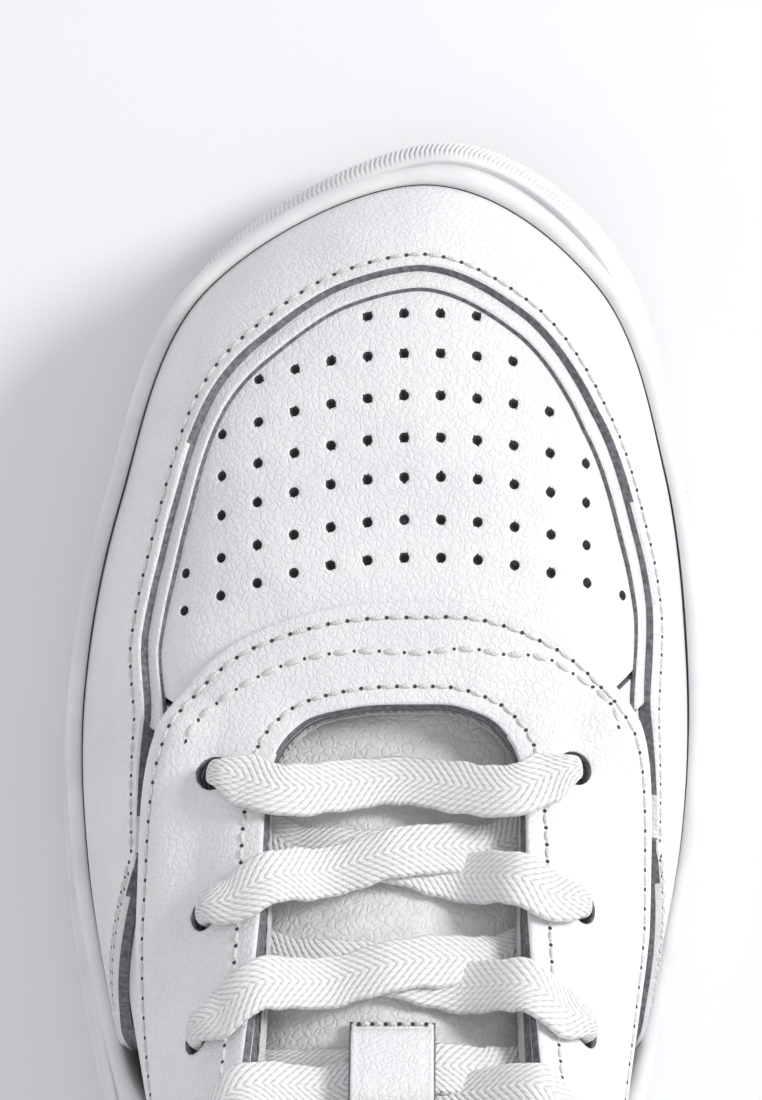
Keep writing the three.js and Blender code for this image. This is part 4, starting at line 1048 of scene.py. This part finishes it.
def knot():
    centre, along = on_tongue(KNOT_ROW, 0, 5.4), tongue_key(KNOT_ROW, 0, 0)[1]
    out = np.cross([1.0, 0, 0], along)
    turn = np.linspace(0, 2 * np.pi * 1.1, 17)
    wrap = [centre + np.array([blend(-1.6, 1.6, k / 16), 0, 0]) + along * 4.6 * math.cos(a) + out * 3.9 * math.sin(a)
            for k, a in enumerate(turn)]
    strip("lace_knot_wrap", wrap, [[1.0, 0, 0]] * 17, [0.85] * 17, 1.5)
    core = [centre + np.array([x, 0, 0]) + out * z for x, z in ((-7, -0.8), (-4, 0.2), (0, 0.6), (4, 0.2), (7, -0.8))]
    strip("lace_knot_core", core, [along] * 5, [0.45, 0.8, 0.9, 0.8, 0.45], 5.2)


knot()

for side, name in ((-1, "lateral"), (1, "medial")):
    sign = np.array([1, 1, 1]) if side < 0 else np.array([-1, 1, 1])
    about = np.array([0, 0, 0]) if side < 0 else np.array([2 * CENTRE_X, 0, 0])
    route = [np.array(p) * sign + about for p in TAIL_ROUTE]
    facing = [np.array(n, float) * sign for n in TAIL_FACING]
    tangent = np.gradient(np.array(route), axis=0)
    share = [0.72, 0.95, 1, 1, 1, 1, 1, 1, 1, 0.42]
    tail, centre, length = strip(f"lace_tail_{name}", route, np.cross(facing, tangent), share, LACE_THICKNESS,
                                 [f"lace_end_{name}"], wobble=0.03)
    [tuple(p * MM) for p in centre[::4]]

STRAP_WIDTH = 14
keeper_keys = [(2.0, 0.95), (2.14, 1.0), (2.26, 5.8), (2.6, 7.2), (2.94, 6.8), (3.05, 1.0), (3.18, 0.95)]


def strap(name, points, sides, width, thickness, replaced, channel=()):
    """A leather strap along points: a patch whose i runs along and j across."""
    points, sides = np.array(points, float), np.array(sides, float)

    def at(i, j, h):
        centre = centripetal(points, i)
        along = unit(centripetal(points, np.minimum(1, i + 0.004)) - centripetal(points, np.maximum(0, i - 0.004)))
        side = unit(sides - along * (along * sides).sum(-1, keepdims=True))
        up = np.cross(side, along)
        return centre + side * ((j - 0.5) * width)[..., None] + up * (h - thickness / 2)[..., None]
    length = np.linalg.norm(np.diff(centripetal(points, np.linspace(0, 1, 80)), axis=0), axis=-1).sum()
    patch(name, at, edge_lines(length, 0.6), edge_lines(width, 0.6), constant(thickness), constant(0), replaced,
          raw=(0.5, 0.5, 0.4, 0.4), channel=channel)


keeper_points = [pitch_tongue(k, 0, h)[0] for k, h in keeper_keys]
strap("tongue_keeper_loop", keeper_points, [-1.0, 0, 0], STRAP_WIDTH, 1.1, ["tongue_keeper"],
      channel=[((2, 3), 1.4, 0.12)])
tab_keys = [(30, 2.9, 0), (12, 2.9, 0), (0, 3.4, 3), (0, 3.8, 14), (0, 6, 17), (0, 8, 14), (0, 7, 3), (12, 6, 0),
            (26, 6, 0)]
tab_points = [raised(0, drop(0, down), h) + np.array([0, 0, up]) for down, h, up in tab_keys]
strap("heel_tab_loop", tab_points, [-1.0, 0, 0], STRAP_WIDTH, LEATHER_T, ["heel_tab"], channel=[((2, 3), 1.6, 0.14)])

# ---------------------------------------------------------------- stitch rows


def on_patch(at, i, j, h):
    i, j = np.broadcast_arrays(np.asarray(i, float), np.asarray(j, float))
    points = at(i, j, h + 0 * i)
    return points, unit(at(i, j, h + 1 + 0 * i) - points)


front_rows = Stitching()
i = np.linspace(0.012, 0.988, 500)
j = 1 - 2.4 / mudguard_edge(blend(mud_start(1.0), mud_end(1.0), i))
front_rows.row(*on_patch(mudguard_at, i, j, MUD_OUTER - 0.02))
for end, sign in ((0.0, 1), (1.0, -1)):
    for inset in (2.5, 5.3):
        j = np.linspace(0.06, 0.93, 80)
        front_rows.row(*on_patch(mudguard_at, end + sign * inset / MUD_SEAM_LENGTH, j, MUD_OUTER), pitch=3.0)
front_rows.build("mudguard_stitch")

facing_rows = Stitching()
throat = np.linspace(5.1, 18.9, 700)


def on_facing(throat, from_edge=None, from_throat=None):
    mm = from_throat if from_edge is None else facing_width(throat) - from_edge
    f = mm / facing_width(throat)
    h = facing_ride(throat, f) + LEATHER_T - 0.05
    return lay(throat, mm, h), lay_normal(throat, mm)


facing_rows.row(*on_facing(throat, from_edge=2.8), pitch=3.3)
facing_rows.row(*on_facing(throat, from_throat=3.4), pitch=3.0)
box_drop = profile([(8.6, 17.5), (9.1, 15), (10.3, 11), (12, 9), (13.2, 11), (13.9, 15), (14.6, 18), (15.4, 18)])
front_throat = np.linspace(9.0, 15.0, 300)
facing_rows.row(*on_facing(front_throat, from_throat=box_drop(front_throat)), pitch=4.2, gap=0.9, radius=0.5,
                dot=0.45)
facing_rows.build("eyestay_stitch")

heel_rows, SEAM_TOP = Stitching(), PANEL_OUTER - SEAM_DEPTH
for side in (-1, 1):
    for inset in (2.4, 5.0):
        s = on_side(np.linspace(0.52, 3.82, 120), side)
        t = drop(s, COLLAR_DROP - inset)
        heel_rows.row(raised(s, t, SEAM_TOP), surface_normal(s, t), 3.0)
for inset in (2.4, 5.0):
    i = np.linspace(0.03, 0.97, 260)
    j = 1 - inset / heel_rise(np.abs(blend(-HEEL_SPAN, HEEL_SPAN, i)))
    heel_rows.row(*on_patch(heel_at, i, j, SEAM_TOP), pitch=3.0)
    for end, sign in ((0.0, 1), (1.0, -1)):
        heel_rows.row(*on_patch(heel_at, end + sign * inset / HEEL_LENGTH, np.linspace(0.1, 0.85, 60), SEAM_TOP),
                      pitch=3.0)
for edge in (0.13, 0.87):
    heel_rows.row(*on_patch(backstay_at, edge, np.linspace(0.03, 0.95, 60), SEAM_TOP),
                      pitch=3.0)
heel_rows.build("heel_and_collar_stitch")

tongue_rows_sewn = Stitching()
for k in (2.05, 2.14, 3.08, 3.15):
    x = np.linspace(-5.6, 5.6, 20)
    base = np.array([pitch_tongue(k, 0, 1.62)[0]])
    normal = tongue_normal(np.array([row_of(pitch_point(k))]), np.zeros(1))
    tongue_rows_sewn.row(base + np.stack([x, 0 * x, 0 * x], -1), np.repeat(normal, 20, 0), pitch=2.2, gap=0.6)
for a in (-0.8, 0.8):
    row = np.linspace(6.5, 9.9, 120)
    tongue_rows_sewn.row(on_tongue(row, a, 0.0), tongue_normal(row, a + 0 * row), pitch=3.0)
tongue_rows_sewn.build("tongue_stitch")

# ---------------------------------------------------------------- sole
OUTSOLE, CUP_FLOOR, WALL_INNER, CUP_WALL = 4, 7, 3.6, 2.2


def sole_edge(u, inset, z, line=SOLE_LINE):
    p = ring(line, u) - plan_normal(line, u) * np.asarray(inset)[..., None]
    p[..., 2] = ground(p[..., 1]) + z
    return p


def lip_t(u):
    t = np.linspace(0, 0.6, 121)
    z = surface(u[:, None], t[None, :])[..., 2]
    target = sidewall_height(surface(u, 0.15)[..., 1])
    i = np.maximum(1, np.argmax(z >= target[:, None], axis=1))
    n = np.arange(len(u))
    return t[i - 1] + (t[i] - t[i - 1]) * (target - z[n, i - 1]) / (z[n, i] - z[n, i - 1])


def lip_fit(u):
    """How far out the upper reaches where the lip meets it: mudguard, heel overlay or bare quarter."""
    mudguard = smooth(u, 5.9, 6.6) * (1 - smooth(u, 17.5, 18.2))
    heel = 1 - smooth(np.minimum(u, STATIONS - u), 3.2, 3.7)
    return 0.25 + 1.6 * heel + 3.3 * mudguard


BUMPER_LOW, BUMPER_HIGH, RIB_PITCH, RIB_DEPTH = 5.0, 13.4, 0.95, 0.75


def cup():
    front = np.arange(8.8, 15.4, 0.005)
    rest = np.concatenate([np.arange(15.4, 24, 0.05), np.arange(0, 8.8, 0.05)])
    u = np.concatenate([front, rest])
    edge = ring(SOLE_LINE, u)
    start = np.where(edge[:, 0] < 0, 66.5, 77)
    toe = smooth(edge[:, 1], start - 0.8, start + 0.8)
    run = np.concatenate([[0], np.cumsum(np.linalg.norm(np.diff(edge, axis=0), axis=-1))])
    lip = lip_t(u)
    rows = [sole_edge(u, 2.2 + 0 * u, OUTSOLE + GAP), sole_edge(u, 1.0 + 0 * u, OUTSOLE + 0.42)]
    # toe bumper: fine slanted ribs on a face that leans in, with a scalloped upper end
    for k in np.linspace(0, 1, 15):
        z = blend(BUMPER_LOW, BUMPER_HIGH, k)
        swell = 0.45 * np.sin(np.pi * min(1, k * 1.6 + 0.1) / 2)
        rib = np.abs(np.sin(np.pi * (run / RIB_PITCH + k * 1.7))) ** 0.7
        fade = smooth(k, 0, 0.12) * (1 - smooth(k, 0.86, 1))
        inset_toe = blend(0.75, 3.0, k**1.4) - RIB_DEPTH * rib * fade
        inset_side = 0.45 - swell + 0.5 * smooth(k, 0.8, 1)
        rows.append(sole_edge(u, blend(inset_side, inset_toe, toe), z))
    ledge = blend(2.5, 4.1, toe)
    for inset, z in ((-0.5, 13.75), (0, 13.9), (0.16, 13.3), (0.5, 13.1), (0.85, 13.35), (1.0, 14.3), (1.3, 14.75)):
        rows.append(sole_edge(u, ledge + inset, z + 0 * u))
    top = raised(u, lip * 0.8, WALL_INNER + CUP_WALL + 0.6)
    foot = rows[-1]
    for k in np.linspace(0.12, 1, 10):
        bulge = 0.5 * np.sin(np.pi * k)
        p = blend(foot, top, k) + plan_normal(SOLE_LINE, u) * bulge * 0.5
        p[:, 2] += bulge * 0.5
        rows.append(p)
    inner = lip_fit(u)
    for dt, k in ((0.0, 0), (0.004, 0.08), (0.008, 0.2), (0.012, 0.4), (0.012, 0.75), (0.006, 0.97), (-0.01, 1)):
        rows.append(raised(u, lip + dt, blend(WALL_INNER + CUP_WALL + 0.5, inner, k)))
    rows.append(raised(u, lip / 2, inner))
    rows.append(raised(u, 0.02 + 0 * u, WALL_INNER))
    rows.append(sole_edge(u, -WALL_INNER, CUP_FLOOR, FEATHER))
    grid = np.stack(rows, 1)
    count, level_count = grid.shape[:2]
    index = np.arange(count * level_count).reshape(count, level_count)
    follow = np.roll(index, -1, axis=0)
    faces = [quads_of(index[:, :-1], index[:, 1:], follow[:, 1:], follow[:, :-1])[:, ::-1]]
    # the underside and the floor inside run in from the first and last levels to a spine
    points = [grid.reshape(-1, 3)]
    for n, (level, height) in enumerate(((0, OUTSOLE + GAP), (level_count - 1, CUP_FLOOR))):
        y = grid[:, level, 1]
        along = np.clip(y, -120, 120)
        points.append(xyz(2 + 2 * np.clip(y / 150, -1, 1), along, ground(along) + height))
        s = (level_count + n) * count + np.arange(count)
        cap = quads_of(index[:, level], follow[:, level], np.roll(s, -1), s)
        faces.append(cap if n else cap[:, ::-1])
    piece("cupsole_shell", np.concatenate(points), faces, [CUP], ["cupsole"])


cup()


TREAD_INSET, GROOVE_PITCH, GROOVE_SHARE, GROOVE_DEPTH = 2.0, 5.2, 0.42, 1.5


def tread():
    ny, nx = 560, 200
    half = np.linspace(0, 12, 4000)
    left, right = ring(SOLE_LINE, half), ring(SOLE_LINE, STATIONS - half)
    left, right = (p - plan_normal(SOLE_LINE, v) * TREAD_INSET for p, v in ((left, half), (right, STATIONS - half)))
    low = max(left[:, 1].min(), right[:, 1].min()) + 0.05
    high = min(left[:, 1].max(), right[:, 1].max()) - 0.05
    y = blend(low, high, (1 - np.cos(np.linspace(0, np.pi, ny))) / 2 * 0.35 + np.linspace(0, 1, ny) * 0.65)
    lo, ro = np.argsort(left[:, 1]), np.argsort(right[:, 1])
    xl = np.interp(y, left[lo, 1], left[lo, 0])
    xr = np.interp(y, right[ro, 1], right[ro, 0])
    across = (1 - np.cos(np.linspace(0, np.pi, nx))) / 2 * 0.3 + np.linspace(0, 1, nx) * 0.7
    x = blend(xl[:, None], xr[:, None], across[None, :])
    yy = np.repeat(y[:, None], nx, 1)
    width = (xr - xl)[:, None]
    rim = np.minimum(np.minimum(across * width, (1 - across) * width), np.minimum(yy - low, high - yy) + 0 * x)

    def groove(mm):
        phase = mm / GROOVE_PITCH
        f = np.abs(phase - np.floor(phase) - 0.5) * 2
        return smooth(f, 1 - GROOVE_SHARE, 1 - GROOVE_SHARE + 0.16)
    zigzag = np.abs(((x + 200) / 12) % 1 - 0.5) * 2
    cut = groove(yy + 6.5 * zigzag)
    for cx, cy, size in ((4, 52, 31), (4, -98, 22)):
        d = np.hypot(x - cx, yy - cy)
        cut = np.where(d < size, groove(d), cut)
        cut = np.maximum(cut, np.exp(-((d - size) / 0.9) ** 2))
    cut = np.maximum(cut * smooth(rim, 3.0, 3.8), np.exp(-((rim - 3.4) / 0.7) ** 2))
    bevel = 0.7 * (1 - smooth(rim, 0, 1.0))
    z = ground(yy) + np.where(rim > 0, GROOVE_DEPTH * cut, 0) + bevel
    bottom = np.stack([x, yy, z], -1)
    lid = np.stack([x, yy, ground(yy) + OUTSOLE - 0.35 * (1 - smooth(rim, 0, 0.8))], -1)
    index = np.arange(ny * nx).reshape(ny, nx)
    quads = quads_of(index[1:, :-1], index[1:, 1:], index[:-1, 1:], index[:-1, :-1])
    edge = np.concatenate([index[0, :-1], index[:-1, -1], index[-1, :0:-1], index[:0:-1, 0]])
    nxt = np.roll(edge, -1)
    n = ny * nx
    wall = np.stack([edge, nxt, nxt + n, edge + n], -1)
    piece("outsole_tread", np.concatenate([bottom.reshape(-1, 3), lid.reshape(-1, 3)]),
          [quads, quads[:, ::-1] + n, wall], [TREAD], ["outsole"])


tread()

# ---------------------------------------------------------------- floor and studio light
FLOOR_HALF, FLOOR_DROP = 3000, 0.05
floor = piece("floor", [[x * FLOOR_HALF, y * FLOOR_HALF, -FLOOR_DROP] for x, y in ((-1, -1), (1, -1), (1, 1), (-1, 1))],
              [np.array([[0, 1, 2, 3]])], [material("pale_floor", (0.90, 0.90, 0.91), 0.9, [("noise", 2, 0.02)])],
              body=None)


def area_light(name, location, target, size, power):
    data = bpy.data.lights.new(name, "AREA")
    data.shape, data.size, data.energy = "DISK", size, power
    lamp = bpy.data.objects.new(name, data)
    bpy.context.scene.collection.objects.link(lamp)
    lamp.location = location
    lamp.rotation_euler = (Vector(target) - Vector(location)).to_track_quat("-Z", "Y").to_euler()


area_light("key_light", (0.95, 0.5, 0.75), (0.0, 0.03, 0.05), 0.4, 11)
area_light("fill_light", (-0.9, -0.4, 1.0), (0, 0, 0.05), 1.0, 1.5)
world = bpy.data.worlds.new("studio")
bpy.context.scene.world = world
world.use_nodes = True
world.node_tree.nodes["Background"].inputs["Color"].default_value = (0.96, 0.97, 1.0, 1)
world.node_tree.nodes["Background"].inputs["Strength"].default_value = 0.62
bpy.context.scene.view_settings.view_transform = "Standard"
